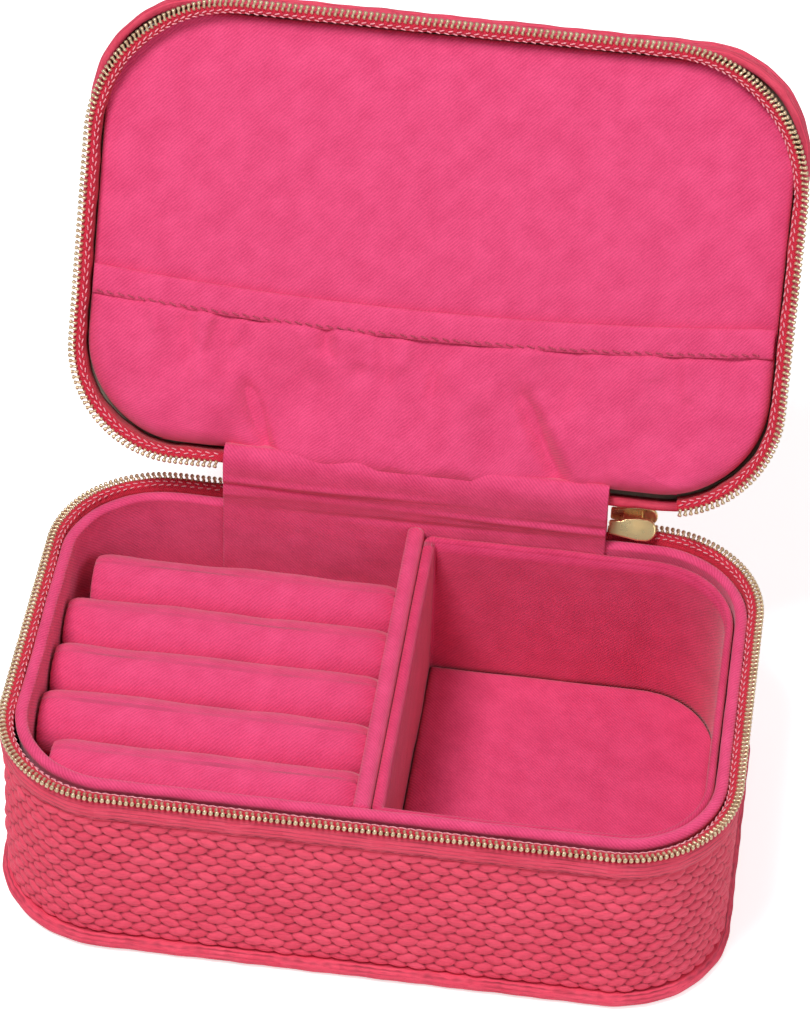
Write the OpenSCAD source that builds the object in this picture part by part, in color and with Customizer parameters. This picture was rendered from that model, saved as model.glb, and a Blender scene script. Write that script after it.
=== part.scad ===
// Zip-around jewellery box: a woven-raffia base and a shallow lid on a fabric hinge, lined in twill.
// The origin is the centre of the base's underside. +X is to the right, +Y to the hinge, +Z up.
// The lid is described closed and then swung open about the hinge axis, which is how the box is stored.

/* [Box] */
// Width of the box over the zip
box_w = 160; // [145:1:200]
// Depth of the box over the zip, front to back
box_d = 105; // [98:1:130]
// Radius of the four upright corners, at the zip
corner_r = 26; // [21:1:31]
// Height of the base's zip line above the table
zip_h = 46; // [42:1:60]
// Height of the lid from its zip line to its top
lid_h = 16.5; // [15.5:0.5:24]

/* [Covered walls] */
// Distance from the zip's outer edge in to the wall
wall_inset = 1.5; // [1:0.1:2]
// Thickness of the raffia cover
cover_t = 1.2; // [0.8:0.1:1.6]
// Thickness of the wall board under the raffia
board_t = 1.3; // [1:0.1:2]
// Thickness of the lined hoop inside each half
hoop_t = 2; // [1.6:0.1:2.6]
// Thickness of the hoop's rolled rim
rim_t = 2.5; // [2.1:0.1:3]
// Slack between board and hoop at the front and the back
hoop_slack = 1.8; // [1.4:0.1:3]
// Gap between two layers that are glued together
fit = 0.1; // [0.05:0.05:0.2]
// Height of the welt round the base's foot and the lid's top
welt_h = 3.4; // [2.8:0.1:4]
// Width of a welt, from its outer edge inwards
welt_w = 3.2; // [2.9:0.1:4]
// Distance from the zip's outer edge in to the lid's welt
lid_welt_inset = 0.9; // [0.2:0.1:1.2]
// Height of the folded hem next to the zip
hem_h = 4.7; // [4:0.1:5.5]
// How far the hem bulges out of the wall
hem_bulge = 0.5; // [0.2:0.1:0.8]

/* [Panels] */
// Thickness of the cover under the base and over the lid
panel_cover_t = 1.2; // [0.8:0.1:1.4]
// Thickness of the base's bottom board
bottom_board_t = 2; // [1.5:0.1:2.1]
// Thickness of the foam under the lid's cover
lid_padding_t = 1.3; // [1:0.1:1.6]
// Thickness of the lid's board
lid_board_t = 1.3; // [1:0.1:1.5]
// Thickness of the lined panel that faces the lid's inside
lining_panel_t = 1.5; // [1:0.1:1.6]
// Depth of that panel's face below the lid's zip line
lid_recess = 5; // [4.8:0.1:6]

/* [Zip] */
// Thickness of the zip tape
tape_t = 0.6; // [0.5:0.1:0.8]
// Width of one row of coil teeth
coil_w = 2.4; // [2:0.1:2.6]
// Height of one row of coil teeth
coil_h = 1.5; // [1.2:0.1:1.6]
// Height of bare zip tape and teeth above the hem
zip_rise = 2.8; // [2.6:0.1:4]
// Gap between the two zip lines with the lid closed
zip_gap = 0.8; // [0.8:0.1:1.4]

/* [Hinge] */
// Width of the fabric hinge along the back
hinge_w = 86; // [70:1:90]
// Distance of the hinge axis in from the back of the zip
hinge_in = 2.2; // [1.8:0.1:2.4]
// Height of the hinge axis above the base's zip line
hinge_up = 8.9; // [8.7:0.1:10]
// Angle that the lid swings back from closed
open_angle = 119; // [100:1:121]
// Thickness of the outer hinge fabric and of the lining strip
hinge_t = 0.7; // [0.5:0.1:0.8]

/* [Right compartment] */
// Left face of the divider, from the middle of the box
divider_x = -1.2; // [-10:0.1:10]
// Thickness of the divider
divider_t = 3.8; // [2.5:0.1:5]
// Thickness of the compartment insert's side next to the divider
insert_side_t = 2.5; // [1.8:0.1:3]
// Thickness of the insert's other sides
insert_t = 1.8; // [1.2:0.1:2.5]
// Distance of the insert's rim below the hoop's rim
insert_drop = 1.4; // [0.5:0.1:4]
// Radius of the insert's corners next to the divider
insert_corner_r = 2.5; // [2:0.1:6]
// Thickness of the padded floor
floor_pad_t = 2.1; // [1:0.1:4]

/* [Ring section] */
// Number of ring rolls
roll_count = 5; // [4:1:5]
// Radius of a ring roll
roll_r = 7.25; // [6:0.05:7.4]
// Gap between two ring rolls
roll_gap = 0.3; // [0.3:0.1:0.8]
// Depth of the flat cut off a roll's underside
roll_cut = 0.25; // [0.1:0.05:1]
// Shift of the row of rolls towards the back
roll_row_y = -0.9; // [-1.2:0.1:1.2]
// Height of the top of the rolls' tray above the table
tray_top = 23.3; // [14:0.1:24]
// Thickness of the tray board
tray_t = 1.5; // [1:0.1:3]
// Space left between the loose inner parts and the lined hoop
inner_gap = 0.3; // [0.3:0.1:0.6]

/* [Lid pocket] */
// Distance of the pocket's mouth from the back of the zip
pocket_depth = 43.2; // [30:0.2:46]
// Height of the pocket's hem
pocket_hem_h = 6.4; // [5.5:0.1:9]
// Thickness of the pocket's hem
pocket_hem_t = 2.2; // [2:0.1:2.6]
// Thickness of the pocket's fabric
pocket_t = 1; // [0.7:0.1:1.4]
// How far the pocket's foot stands out from the lining panel
pocket_bulge = 4.6; // [3.6:0.1:4.7]
// Width of the elastic in the pocket's hem
elastic_w = 4.2; // [3.5:0.1:4.4]
// Thickness of that elastic
elastic_t = 0.7; // [0.5:0.1:0.8]

/* [Zip slider] */
// Length of the slider along the zip
slider_l = 10.4; // [8:0.2:10.6]
// Travel of the slider along the straight end of the zip
slider_travel = 4; // [2:0.5:5]
// Thickness of the slider's two plates
slider_plate_t = 0.8; // [0.6:0.1:1]
// Radius of the bar that carries the pull
bail_r = 0.6; // [0.5:0.05:0.7]
// Distance from the zip's outer edge out to that bar
bail_out = 3.3; // [3.2:0.1:4]
// Running gap round the bar
bail_gap = 0.3; // [0.2:0.05:0.4]
// Length of the pull below the bar
pull_l = 21; // [14:0.5:24]
// Width of the pull
pull_w = 5; // [4:0.1:5.2]
// Thickness of the pull
pull_t = 1.2; // [0.8:0.1:1.6]

/* [Hidden] */
$fn = 96;

raffia = [0.90, 0.24, 0.33];
lining = [0.87, 0.22, 0.40];
zip_red = [0.88, 0.15, 0.20];
gold = [0.83, 0.68, 0.40];
card = [0.60, 0.52, 0.42];
foam = [0.93, 0.90, 0.80];
elastic_white = [0.95, 0.95, 0.93];

// Distances in from the outer edge of the zip, layer by layer
board_in = wall_inset + cover_t + fit;
tape_in = wall_inset + cover_t + 3 * fit;
hoop_in = board_in + board_t + fit;
hoop_inner_x = box_w / 2 - hoop_in - hoop_t;
hoop_inner_y = box_d / 2 - hoop_in - hoop_slack - hoop_t;
hoop_inner_r = corner_r - hoop_in - hoop_t;

// Heights in the base
back_y = box_d / 2;
hem_top = zip_h - zip_rise;
hem_foot = hem_top - hem_h;
rim_drop = 1;
rim_top = zip_h - rim_drop;
wall_foot = welt_h + fit / 2;
inner_floor = wall_foot + fit / 2;

// Heights in the lid, measured from its zip line towards its top
lid_wall_top = lid_h - welt_h - fit;
padding_foot = lid_h - panel_cover_t - fit - lid_padding_t;
lid_board_foot = padding_foot - fit - lid_board_t;
lining_face = lid_recess;
lining_back = lining_face + lining_panel_t;
spacer_foot = lining_back + fit;

// Hinge axis, which runs along X
axis_y = back_y - hinge_in;
axis_z = zip_h + hinge_up;
lid_zip_z = zip_h + zip_gap;
// How far past the lid's zip line the lining strip turns over the lid's edge
lining_dip = 0.2;
// Middle of the lining strip where it turns down beside the lid's lined panel
lining_turn = hinge_t / 2 + fit;

// Inside of the base, between the lined hoop and the strip of hinge lining
lining_room = hinge_t + fit + inner_gap;
inner_back_y = hoop_inner_y - lining_room;
inner_front_y = -hoop_inner_y + inner_gap;
min_corner_r = 0.5;
insert_x = divider_x + divider_t + fit;

// Ring rolls, from the back of the row to its front
roll_pitch = 2 * roll_r + roll_gap;
roll_flat = roll_r - roll_cut;
roll_z = tray_top + fit + roll_flat;
roll_right_x = divider_x - inner_gap;

// Pocket: its mouth faces the lid's free edge
pocket_mouth_y = back_y - pocket_depth;
pocket_hem_y = pocket_mouth_y + pocket_hem_h;
pocket_mouth_gap = 0.7;
pocket_hem_top = lining_face - pocket_mouth_gap;
pocket_back_y = hoop_inner_y + hoop_t;
pocket_face = lining_face - pocket_bulge;
pocket_mouth_foot = pocket_hem_top - pocket_hem_t / 2 - pocket_t / 2;

// Slider, with its clearances from the zip and from the hem
slider_end_gap = 0.2;
lid_zip_end_gap = 0.6;
inner_plate_gap = 0.6;
outer_plate_gap = 0.25;
tape_gap = 0.3;
hem_gap = 0.4;
slider_rise = 3;
outer_plate_rise = 5;
slider_x = hinge_w / 2 + slider_end_gap;
lid_zip_start_x = slider_x + slider_l + slider_travel + lid_zip_end_gap;
inner_plate_y = back_y - coil_w - inner_plate_gap;
outer_plate_y = back_y + outer_plate_gap;
slider_foot = zip_h - coil_h + tape_t + tape_gap;
slider_top = zip_h + slider_rise;
outer_plate_foot = hem_top + hem_gap;
outer_plate_top = zip_h + outer_plate_rise;

// Post between the slider's plates, over the teeth
post_gap = 0.4;
post_drop = 0.2;

// Bar and eye of the pull
bail_rise = 0.6;
bail_side_gap = 0.6;
eye_wall = 1;
bail_y = back_y + bail_out;
bail_z = zip_h + bail_rise;
eye_r = bail_r + bail_gap + eye_wall;

// ---------- outlines ----------

// Rounded rectangle about the origin
module rounded(w, d, r) {
  square([w, d - 2 * r], center = true);
  square([w - 2 * r, d], center = true);
  for (x = [-1, 1], y = [-1, 1])
    translate([x * (w / 2 - r), y * (d / 2 - r)]) circle(r = r);
}

// The zip's outline, moved in by a distance
module outline_in(inset) {
  rounded(box_w - 2 * inset, box_d - 2 * inset, corner_r - inset);
}

// A flat ring between two distances in from the zip's outline
module ring_in(outer, inner, z, h) {
  translate([0, 0, z]) linear_extrude(height = h) difference() {
    outline_in(outer);
    outline_in(inner);
  }
}

// Inside of the lined hoop, less a gap, with slack at the front and the back
module hoop_inside(gap) {
  rounded(2 * (hoop_inner_x - gap), 2 * (hoop_inner_y - gap), hoop_inner_r - gap);
}

// One straight stretch of a swept profile, from x = a to x = b along the back
module back_stretch(a, b) {
  translate([a, back_y, 0]) rotate([90, 0, 90]) linear_extrude(height = b - a) children();
}

// A profile swept round the zip's outline: x = 0 is the outer edge, and -x is inwards.
// The back is left open between x = open_a and x = open_b, if open_b is more than open_a.
// An open_b past the straight part of the back opens the start of the right back corner too.
module sweep_round(open_a, open_b) {
  side_x = box_w / 2 - corner_r;
  side_y = box_d / 2 - corner_r;
  late = open_b > side_x ? asin((open_b - side_x) / corner_r) : 0;
  translate([side_x, side_y, 0]) rotate_extrude(angle = 90 - late) translate([corner_r, 0]) children();
  translate([-side_x, side_y, 0]) rotate([0, 0, 90])
    rotate_extrude(angle = 90) translate([corner_r, 0]) children();
  translate([-side_x, -side_y, 0]) rotate([0, 0, 180])
    rotate_extrude(angle = 90) translate([corner_r, 0]) children();
  translate([side_x, -side_y, 0]) rotate([0, 0, 270])
    rotate_extrude(angle = 90) translate([corner_r, 0]) children();
  translate([box_w / 2, side_y, 0]) rotate([90, 0, 0])
    linear_extrude(height = 2 * side_y) children();
  translate([-box_w / 2, -side_y, 0]) rotate([90, 0, 180])
    linear_extrude(height = 2 * side_y) children();
  rotate([0, 0, 180]) back_stretch(-side_x, side_x) children();
  if (open_b <= open_a) back_stretch(-side_x, side_x) children();
  if (open_b > open_a) back_stretch(-side_x, open_a) children();
  if (open_b > open_a && open_b < side_x) back_stretch(open_b, side_x) children();
}

// Turns the closed lid back to where it stands open
module lid_opened() {
  translate([0, axis_y, axis_z]) rotate([-open_angle, 0, 0])
    translate([0, -axis_y, lid_zip_z - axis_z]) children();
}

// ---------- profiles, all as (distance out, height) ----------

// Round-nosed band from inset b out to inset a
module nosed_band(a, b, z, h) {
  nose = min(h / 2, b - a);
  translate([-b, z]) square([b - a - nose, h]);
  intersection() {
    translate([-b, z]) square([b - a, h]);
    translate([-a - nose, z + h / 2]) circle(r = h / 2);
  }
}

// Hem: flat behind and arched in front
module hem_profile(z) {
  arch_r = (hem_h * hem_h / 4 + hem_bulge * hem_bulge) / (2 * hem_bulge);
  back = wall_inset + cover_t;
  intersection() {
    translate([-back, z]) square([cover_t + hem_bulge, hem_h]);
    translate([-wall_inset + hem_bulge - arch_r, z + hem_h / 2]) circle(r = arch_r);
  }
}

// Zip tape: an upright leg behind the hem, and a lip out to the teeth
module tape_profile(foot, lip) {
  translate([-tape_in - tape_t, foot]) square([tape_t, lip - foot]);
  translate([-tape_in - tape_t, lip - tape_t])
    square([tape_in + tape_t - coil_w - fit / 2, tape_t]);
}

// Row of coil teeth as a bead with rounded edges
module coil_profile(z) {
  edge = coil_h / 2;
  translate([-coil_w + edge, z]) square([coil_w - coil_h, coil_h]);
  for (x = [-coil_w + edge, -edge]) translate([x, z + edge]) circle(r = edge);
}

// ---------- base ----------

module base_bottom_cover() {
  color(raffia) linear_extrude(height = panel_cover_t) outline_in(welt_w + fit);
}

module base_bottom_board() {
  foot = panel_cover_t + fit / 2;
  color(card) translate([0, 0, foot])
    linear_extrude(height = min(bottom_board_t, welt_h - foot)) outline_in(welt_w + fit);
}

module base_welt() {
  color(raffia) sweep_round(0, 0) nosed_band(0, welt_w, 0, welt_h);
}

module base_wall_cover() {
  color(raffia) ring_in(wall_inset, wall_inset + cover_t, wall_foot, hem_foot - fit / 2 - wall_foot);
}

module base_wall_board() {
  color(card) ring_in(board_in, board_in + board_t, wall_foot, hem_foot - fit / 2 - wall_foot);
}

module base_hem() {
  color(raffia) sweep_round(0, 0) hem_profile(hem_foot);
}

module base_zip_tape() {
  lip = zip_h - coil_h + tape_t;
  color(zip_red) sweep_round(-hinge_w / 2, hinge_w / 2) tape_profile(hem_foot + fit, lip);
}

module base_zip_coil() {
  color(gold) sweep_round(-hinge_w / 2, hinge_w / 2) coil_profile(zip_h - coil_h);
}

// Wall of a lined hoop, h tall
module hoop_wall(foot, h) {
  translate([0, 0, foot]) linear_extrude(height = h) difference() {
    rounded(2 * (hoop_inner_x + hoop_t), 2 * (hoop_inner_y + hoop_t), hoop_inner_r + hoop_t);
    hoop_inside(0);
  }
}

// Rolled rim of a lined hoop, which stands out a little behind the wall
module hoop_rim(foot, h) {
  translate([0, 0, foot]) linear_extrude(height = h) difference() {
    rounded(2 * (hoop_inner_x + rim_t), 2 * (hoop_inner_y + rim_t), hoop_inner_r + rim_t);
    hoop_inside(0);
  }
}

module base_liner_hoop() {
  rim_foot = rim_top - rim_t / 2;
  color(lining) {
    hoop_wall(inner_floor, rim_foot - inner_floor);
    hoop_rim(rim_foot, rim_t / 2);
  }
}

// Area of the base's inside to one side of x, clear of the hoop and of the hinge lining
module inner_area(x_from, x_to, gap) {
  intersection() {
    hoop_inside(inner_gap + gap);
    translate([x_from, inner_front_y + gap])
      square([x_to - x_from, inner_back_y - inner_front_y - 2 * gap]);
  }
}

module divider_panel() {
  edge = divider_t / 2;
  color(lining) translate([0, inner_back_y, 0]) rotate([90, 0, 0])
    linear_extrude(height = inner_back_y - inner_front_y) {
      translate([divider_x, inner_floor]) square([divider_t, rim_top - edge - inner_floor]);
      translate([divider_x + edge, rim_top - edge]) circle(r = edge);
    }
}

// Outline of the compartment: square-shouldered at the divider and round at the box's corners
module compartment_area(inset, side_inset) {
  r = max(insert_corner_r - inset, min_corner_r);
  left_x = insert_x + side_inset;
  front_y = inner_front_y + inset;
  deep = inner_back_y - inner_front_y - 2 * inset;
  difference() {
    inner_area(left_x, box_w / 2, inset);
    for (y = [front_y, front_y + deep - r]) translate([left_x, y]) square(r);
  }
  for (y = [front_y + r, front_y + deep - r]) translate([left_x + r, y]) circle(r = r);
}

module compartment_insert() {
  color(lining) translate([0, 0, inner_floor])
    linear_extrude(height = rim_top - insert_drop - inner_floor) difference() {
      compartment_area(0, 0);
      compartment_area(insert_t, insert_side_t);
    }
}

module compartment_floor_pad() {
  color(lining) translate([0, 0, inner_floor]) linear_extrude(height = floor_pad_t)
    compartment_area(insert_t + fit, insert_side_t + fit);
}

module ring_riser_block() {
  color(foam) translate([0, 0, inner_floor])
    linear_extrude(height = tray_top - tray_t - fit / 2 - inner_floor)
    inner_area(-box_w / 2, divider_x - fit, 0);
}

module ring_tray_board() {
  color(card) translate([0, 0, tray_top - tray_t]) linear_extrude(height = tray_t)
    inner_area(-box_w / 2, divider_x - fit, 0);
}

// Left end of the room for a roll whose outer side reaches y
function hoop_left_x(y) =
  let (past = max(abs(y) - (hoop_inner_y - hoop_inner_r), 0))
  -hoop_inner_x + hoop_inner_r - sqrt(hoop_inner_r * hoop_inner_r - past * past);

module ring_roll(i) {
  row_y = roll_row_y + roll_pitch * ((roll_count - 1) / 2 - i);
  reach = abs(row_y) + roll_r;
  left_x = hoop_left_x(reach) + 2 * inner_gap;
  color(lining) translate([left_x, row_y, roll_z]) rotate([90, 0, 90])
    linear_extrude(height = roll_right_x - left_x) difference() {
      circle(r = roll_r);
      translate([-roll_r, -2 * roll_r - roll_flat]) square([2 * roll_r, 2 * roll_r]);
    }
}

// ---------- fabric hinge ----------

// A point of the closed lid's section, moved to where it is with the lid open
function opened(y, up) =
  let (dy = y - axis_y, dz = lid_zip_z + up - axis_z)
  [axis_y + dy * cos(open_angle) + dz * sin(open_angle),
   axis_z - dy * sin(open_angle) + dz * cos(open_angle)];

function unit(v) = v / norm(v);
function left_of(v) = [-v[1], v[0]];
function miter(p, i) =
  let (a = i > 0 ? unit(p[i] - p[i - 1]) : unit(p[i + 1] - p[i]),
       b = i < len(p) - 1 ? unit(p[i + 1] - p[i]) : a,
       m = unit(left_of(a) + left_of(b)))
  m / (m * left_of(a));

// Strip of even thickness along a line of points
module strip(p, t) {
  last = len(p) - 1;
  polygon(concat([for (i = [0:last]) p[i] + miter(p, i) * t / 2],
                 [for (i = [last:-1:0]) p[i] - miter(p, i) * t / 2]));
}

module hinge_strip(p) {
  rotate([90, 0, 90]) linear_extrude(height = hinge_w, center = true) strip(p, hinge_t);
}

// Outer fabric: from between hem and hoop in the base, round the lid's hem and up inside it
module hinge_cover() {
  layer_y = back_y - tape_in - hinge_t / 2;
  turn_up = zip_rise - hinge_t / 2 - 2 * fit;
  color(raffia) hinge_strip([
    [layer_y, hem_foot + fit],
    [layer_y, hem_top],
    opened(back_y - wall_inset + 2 * fit, turn_up),
    opened(layer_y, turn_up),
    opened(layer_y, zip_rise + hem_h - fit)
  ]);
}

// Lining strip: from low on the hoop's back, up to the lid's edge, and in beside its lined panel
module hinge_lining() {
  layer_y = hoop_inner_y - fit - hinge_t / 2;
  panel_edge_y = pocket_back_y + fit + hinge_t / 2;
  color(lining) hinge_strip([
    [layer_y, tray_top + hinge_t],
    [layer_y, rim_top],
    opened(back_y - wall_inset - 3 * fit, -lining_dip),
    opened(panel_edge_y, lining_turn),
    opened(panel_edge_y, lining_back)
  ]);
}

// ---------- lid, described closed with z = 0 on its zip line ----------

module lid_panel(z, h) {
  translate([0, 0, z]) linear_extrude(height = h) outline_in(lid_welt_inset + welt_w + fit);
}

module lid_top_cover() {
  color(raffia) lid_opened() lid_panel(lid_h - panel_cover_t, panel_cover_t);
}

module lid_top_padding() {
  color(foam) lid_opened() lid_panel(padding_foot, lid_padding_t);
}

module lid_top_board() {
  color(card) lid_opened() translate([0, 0, lid_board_foot])
    linear_extrude(height = lid_board_t) outline_in(hoop_in);
}

module lid_welt() {
  color(raffia) lid_opened() sweep_round(0, 0)
    nosed_band(lid_welt_inset, lid_welt_inset + welt_w, lid_h - welt_h, welt_h);
}

module lid_wall_cover() {
  foot = zip_rise + hem_h + fit;
  color(raffia) lid_opened() ring_in(wall_inset, wall_inset + cover_t, foot, lid_wall_top - foot);
}

module lid_wall_board() {
  foot = zip_rise + hem_h + fit;
  color(card) lid_opened() ring_in(board_in, board_in + board_t, foot, lid_wall_top - foot);
}

module lid_hem() {
  color(raffia) lid_opened() sweep_round(0, 0) hem_profile(zip_rise);
}

module lid_zip_tape() {
  color(zip_red) lid_opened() sweep_round(-hinge_w / 2, lid_zip_start_x)
    translate([0, zip_h]) mirror([0, 1]) tape_profile(hem_foot + fit, zip_h - coil_h + tape_t);
}

module lid_zip_coil() {
  color(gold) lid_opened() sweep_round(-hinge_w / 2, lid_zip_start_x) coil_profile(0);
}

// Hidden hoop that holds the lined panel away from the lid's board
module lid_spacer_hoop() {
  color(card) lid_opened() hoop_wall(spacer_foot, lid_board_foot - fit - spacer_foot);
}

// Outline of the lined panel, moved in by a distance
module panel_area(inset) {
  rounded(2 * (hoop_inner_x + hoop_t - inset), 2 * (hoop_inner_y + hoop_t - inset),
          hoop_inner_r + hoop_t - inset);
}

module lid_lining_panel() {
  color(lining) lid_opened() translate([0, 0, lining_face])
    linear_extrude(height = lining_panel_t) panel_area(0);
}

// What lies over the lined panel, up to its edge less a distance
module over_panel(inset) {
  intersection() {
    linear_extrude(height = lid_h) panel_area(inset);
    children();
  }
}

// A section in the plane of Y and height, run across the lid
module across(w) {
  rotate([90, 0, 90]) linear_extrude(height = w, center = true) children();
}

// Height of the pocket's outer face at y, which falls away from its mouth to its foot
function pocket_face_h(y) =
  pocket_face + (pocket_mouth_foot - pocket_face)
  * (pocket_back_y - y) / (pocket_back_y - pocket_hem_y - fit);

// Section under the pocket's outer face, from y to the pocket's foot
module pocket_section(y, lift, top) {
  polygon([
    [y, pocket_face_h(y) + lift],
    [pocket_back_y, pocket_face + lift],
    [pocket_back_y, top],
    [y, top]
  ]);
}

// Fabric that slopes from the hem to the foot, and turns down to the panel at the foot and the sides
module pocket_panel() {
  color(lining) lid_opened() difference() {
    over_panel(0) across(box_w) pocket_section(pocket_hem_y + fit, 0, lining_face - fit);
    over_panel(pocket_t) across(box_w) pocket_section(pocket_hem_y, pocket_t, lining_face);
  }
}

module pocket_hem() {
  slot_h = elastic_t + 2 * fit;
  slot_w = elastic_w + 2 * fit;
  color(lining) lid_opened() over_panel(0) across(box_w) difference() {
    translate([pocket_mouth_y, pocket_hem_top - pocket_hem_t])
      square([pocket_hem_h, pocket_hem_t]);
    translate([pocket_mouth_y + (pocket_hem_h - slot_w) / 2,
               pocket_hem_top - pocket_hem_t / 2 - slot_h / 2])
      square([slot_w, slot_h]);
  }
}

module pocket_elastic() {
  color(elastic_white) lid_opened() over_panel(0) across(box_w)
    translate([pocket_mouth_y + (pocket_hem_h - elastic_w) / 2,
               pocket_hem_top - pocket_hem_t / 2 - elastic_t / 2])
    square([elastic_w, elastic_t]);
}

// ---------- slider and pull ----------

module zip_slider_body() {
  post_w = slider_l / 2;
  color(gold) {
    translate([slider_x, inner_plate_y - slider_plate_t, slider_foot])
      cube([slider_l, slider_plate_t, slider_top - slider_foot]);
    translate([slider_x, outer_plate_y, outer_plate_foot])
      cube([slider_l, slider_plate_t, outer_plate_top - outer_plate_foot]);
    translate([slider_x + (slider_l - post_w) / 2, inner_plate_y - slider_plate_t / 2, zip_h + post_gap])
      cube([post_w, outer_plate_y - inner_plate_y + slider_plate_t, slider_rise - post_gap - post_drop]);
  }
}

module zip_slider_bail() {
  span = pull_w + 2 * (bail_r + bail_side_gap);
  mid_x = slider_x + slider_l / 2;
  plate_y = outer_plate_y + slider_plate_t;
  color(gold) {
    translate([mid_x, bail_y, bail_z]) rotate([0, 90, 0])
      cylinder(r = bail_r, h = span, center = true);
    for (side = [-1, 1])
      translate([mid_x + side * span / 2 - bail_r, plate_y, bail_z - bail_r])
        cube([2 * bail_r, bail_y - plate_y, 2 * bail_r]);
  }
}

module zip_pull_tab() {
  mid_x = slider_x + slider_l / 2;
  end_r = pull_w / 2;
  color(gold) translate([mid_x, bail_y, bail_z]) difference() {
    union() {
      rotate([0, 90, 0]) cylinder(r = eye_r, h = pull_w, center = true);
      translate([-pull_w / 2, -pull_t / 2, -pull_l + end_r])
        cube([pull_w, pull_t, pull_l - end_r - bail_r - bail_gap]);
      translate([0, pull_t / 2, -pull_l + end_r]) rotate([90, 0, 0])
        cylinder(r = end_r, h = pull_t);
    }
    rotate([0, 90, 0]) cylinder(r = bail_r + bail_gap, h = 2 * pull_w, center = true);
  }
}

// ---------- nodes ----------

base_bottom_cover();
base_bottom_board();
base_welt();
base_wall_cover();
base_wall_board();
base_hem();
base_zip_tape();
base_zip_coil();
base_liner_hoop();
divider_panel();
compartment_insert();
compartment_floor_pad();
ring_riser_block();
ring_tray_board();
ring_roll(0);  // ring_roll_1
ring_roll(1);  // ring_roll_2
ring_roll(2);  // ring_roll_3
ring_roll(3);  // ring_roll_4
ring_roll(4);  // ring_roll_5
hinge_cover();
hinge_lining();
lid_top_cover();
lid_top_padding();
lid_top_board();
lid_welt();
lid_wall_cover();
lid_wall_board();
lid_hem();
lid_zip_tape();
lid_zip_coil();
lid_spacer_hoop();
lid_lining_panel();
pocket_panel();
pocket_hem();
pocket_elastic();
zip_slider_body();
zip_slider_bail();
zip_pull_tab();
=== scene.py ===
"""Looks of the zip-around jewelry box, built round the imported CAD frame. Lengths in the code are millimetres."""

import math

import bmesh
import bpy
import numpy as np
from mathutils import Matrix, Vector


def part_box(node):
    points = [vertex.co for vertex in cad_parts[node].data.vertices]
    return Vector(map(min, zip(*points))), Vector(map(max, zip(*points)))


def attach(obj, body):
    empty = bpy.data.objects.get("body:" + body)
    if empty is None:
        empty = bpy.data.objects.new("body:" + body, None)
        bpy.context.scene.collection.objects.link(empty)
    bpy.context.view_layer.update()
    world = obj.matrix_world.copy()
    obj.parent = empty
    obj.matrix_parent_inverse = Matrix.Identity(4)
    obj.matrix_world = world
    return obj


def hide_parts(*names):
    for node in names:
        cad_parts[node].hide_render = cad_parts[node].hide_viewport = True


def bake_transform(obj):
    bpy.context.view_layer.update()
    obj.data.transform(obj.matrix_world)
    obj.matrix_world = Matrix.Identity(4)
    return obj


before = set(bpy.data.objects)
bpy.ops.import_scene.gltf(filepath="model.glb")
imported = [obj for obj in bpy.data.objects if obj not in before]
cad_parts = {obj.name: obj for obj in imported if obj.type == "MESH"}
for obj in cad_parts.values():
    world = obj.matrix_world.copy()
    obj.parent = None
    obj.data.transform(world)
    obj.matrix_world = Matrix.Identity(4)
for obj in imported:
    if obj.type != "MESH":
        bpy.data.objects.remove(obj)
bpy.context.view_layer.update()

MM = 0.001
RNG = np.random.default_rng(7)
FINE = 1.0

# Sizes of the CAD, in its own terms
BOX_W, BOX_D, CORNER_R = 160.0, 105.0, 26.0
ZIP_H, LID_H = 46.0, 16.5
WALL_INSET, COVER_T = 1.5, 1.2
WELT_H, WELT_W, LID_WELT_INSET = 3.4, 3.2, 0.9
HEM_H, HEM_BULGE, ZIP_RISE = 4.7, 0.5, 2.8
HEM_FOOT, HEM_TOP = 38.5, 43.2
COIL_W, COIL_H, TAPE_T, TAPE_IN = 2.4, 1.5, 0.6, 3.0
AXIS_Y, AXIS_Z, LID_ZIP_Z, OPEN_ANGLE = 50.3, 54.9, 46.8, math.radians(119)
HOOP_X, HOOP_Y, HOOP_R, RIM_T = 73.8, 44.5, 19.8, 2.5
PANEL_X, PANEL_Y, PANEL_R = 75.8, 46.5, 21.8
RIM_TOP, INNER_FLOOR = 45.0, 3.5
LINING_FACE, LINING_T = 5.0, 1.5
DIVIDER_X, DIVIDER_T = -1.2, 3.8
INNER_FRONT_Y, INNER_BACK_Y = -44.2, 43.4
ROLL_R, ROLL_Z, ROLL_PITCH, ROLL_FIRST_Y, ROLL_FLAT = 7.25, 30.4, 14.8, 28.7, 7.0
HINGE_HALF = 43.0
POCKET_MOUTH_Y, POCKET_HEM_Y = 9.3, 15.7

RAFFIA, TWILL, TAPE, TEETH, METAL = "raffia", "twill_lining", "zip_tape", "zip_teeth", "slider_metal"


# ---------- meshes ----------

def identity(points):
    return points


def opened(points):
    """Closed-lid points, with z from the lid's zip line, moved to where the lid stands open."""
    p = np.array(points, float)
    dy, dz = p[..., 1] - AXIS_Y, p[..., 2] + LID_ZIP_Z - AXIS_Z
    c, s = math.cos(OPEN_ANGLE), math.sin(OPEN_ANGLE)
    p[..., 1] = AXIS_Y + dy * c + dz * s
    p[..., 2] = AXIS_Z - dy * s + dz * c
    return p


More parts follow.
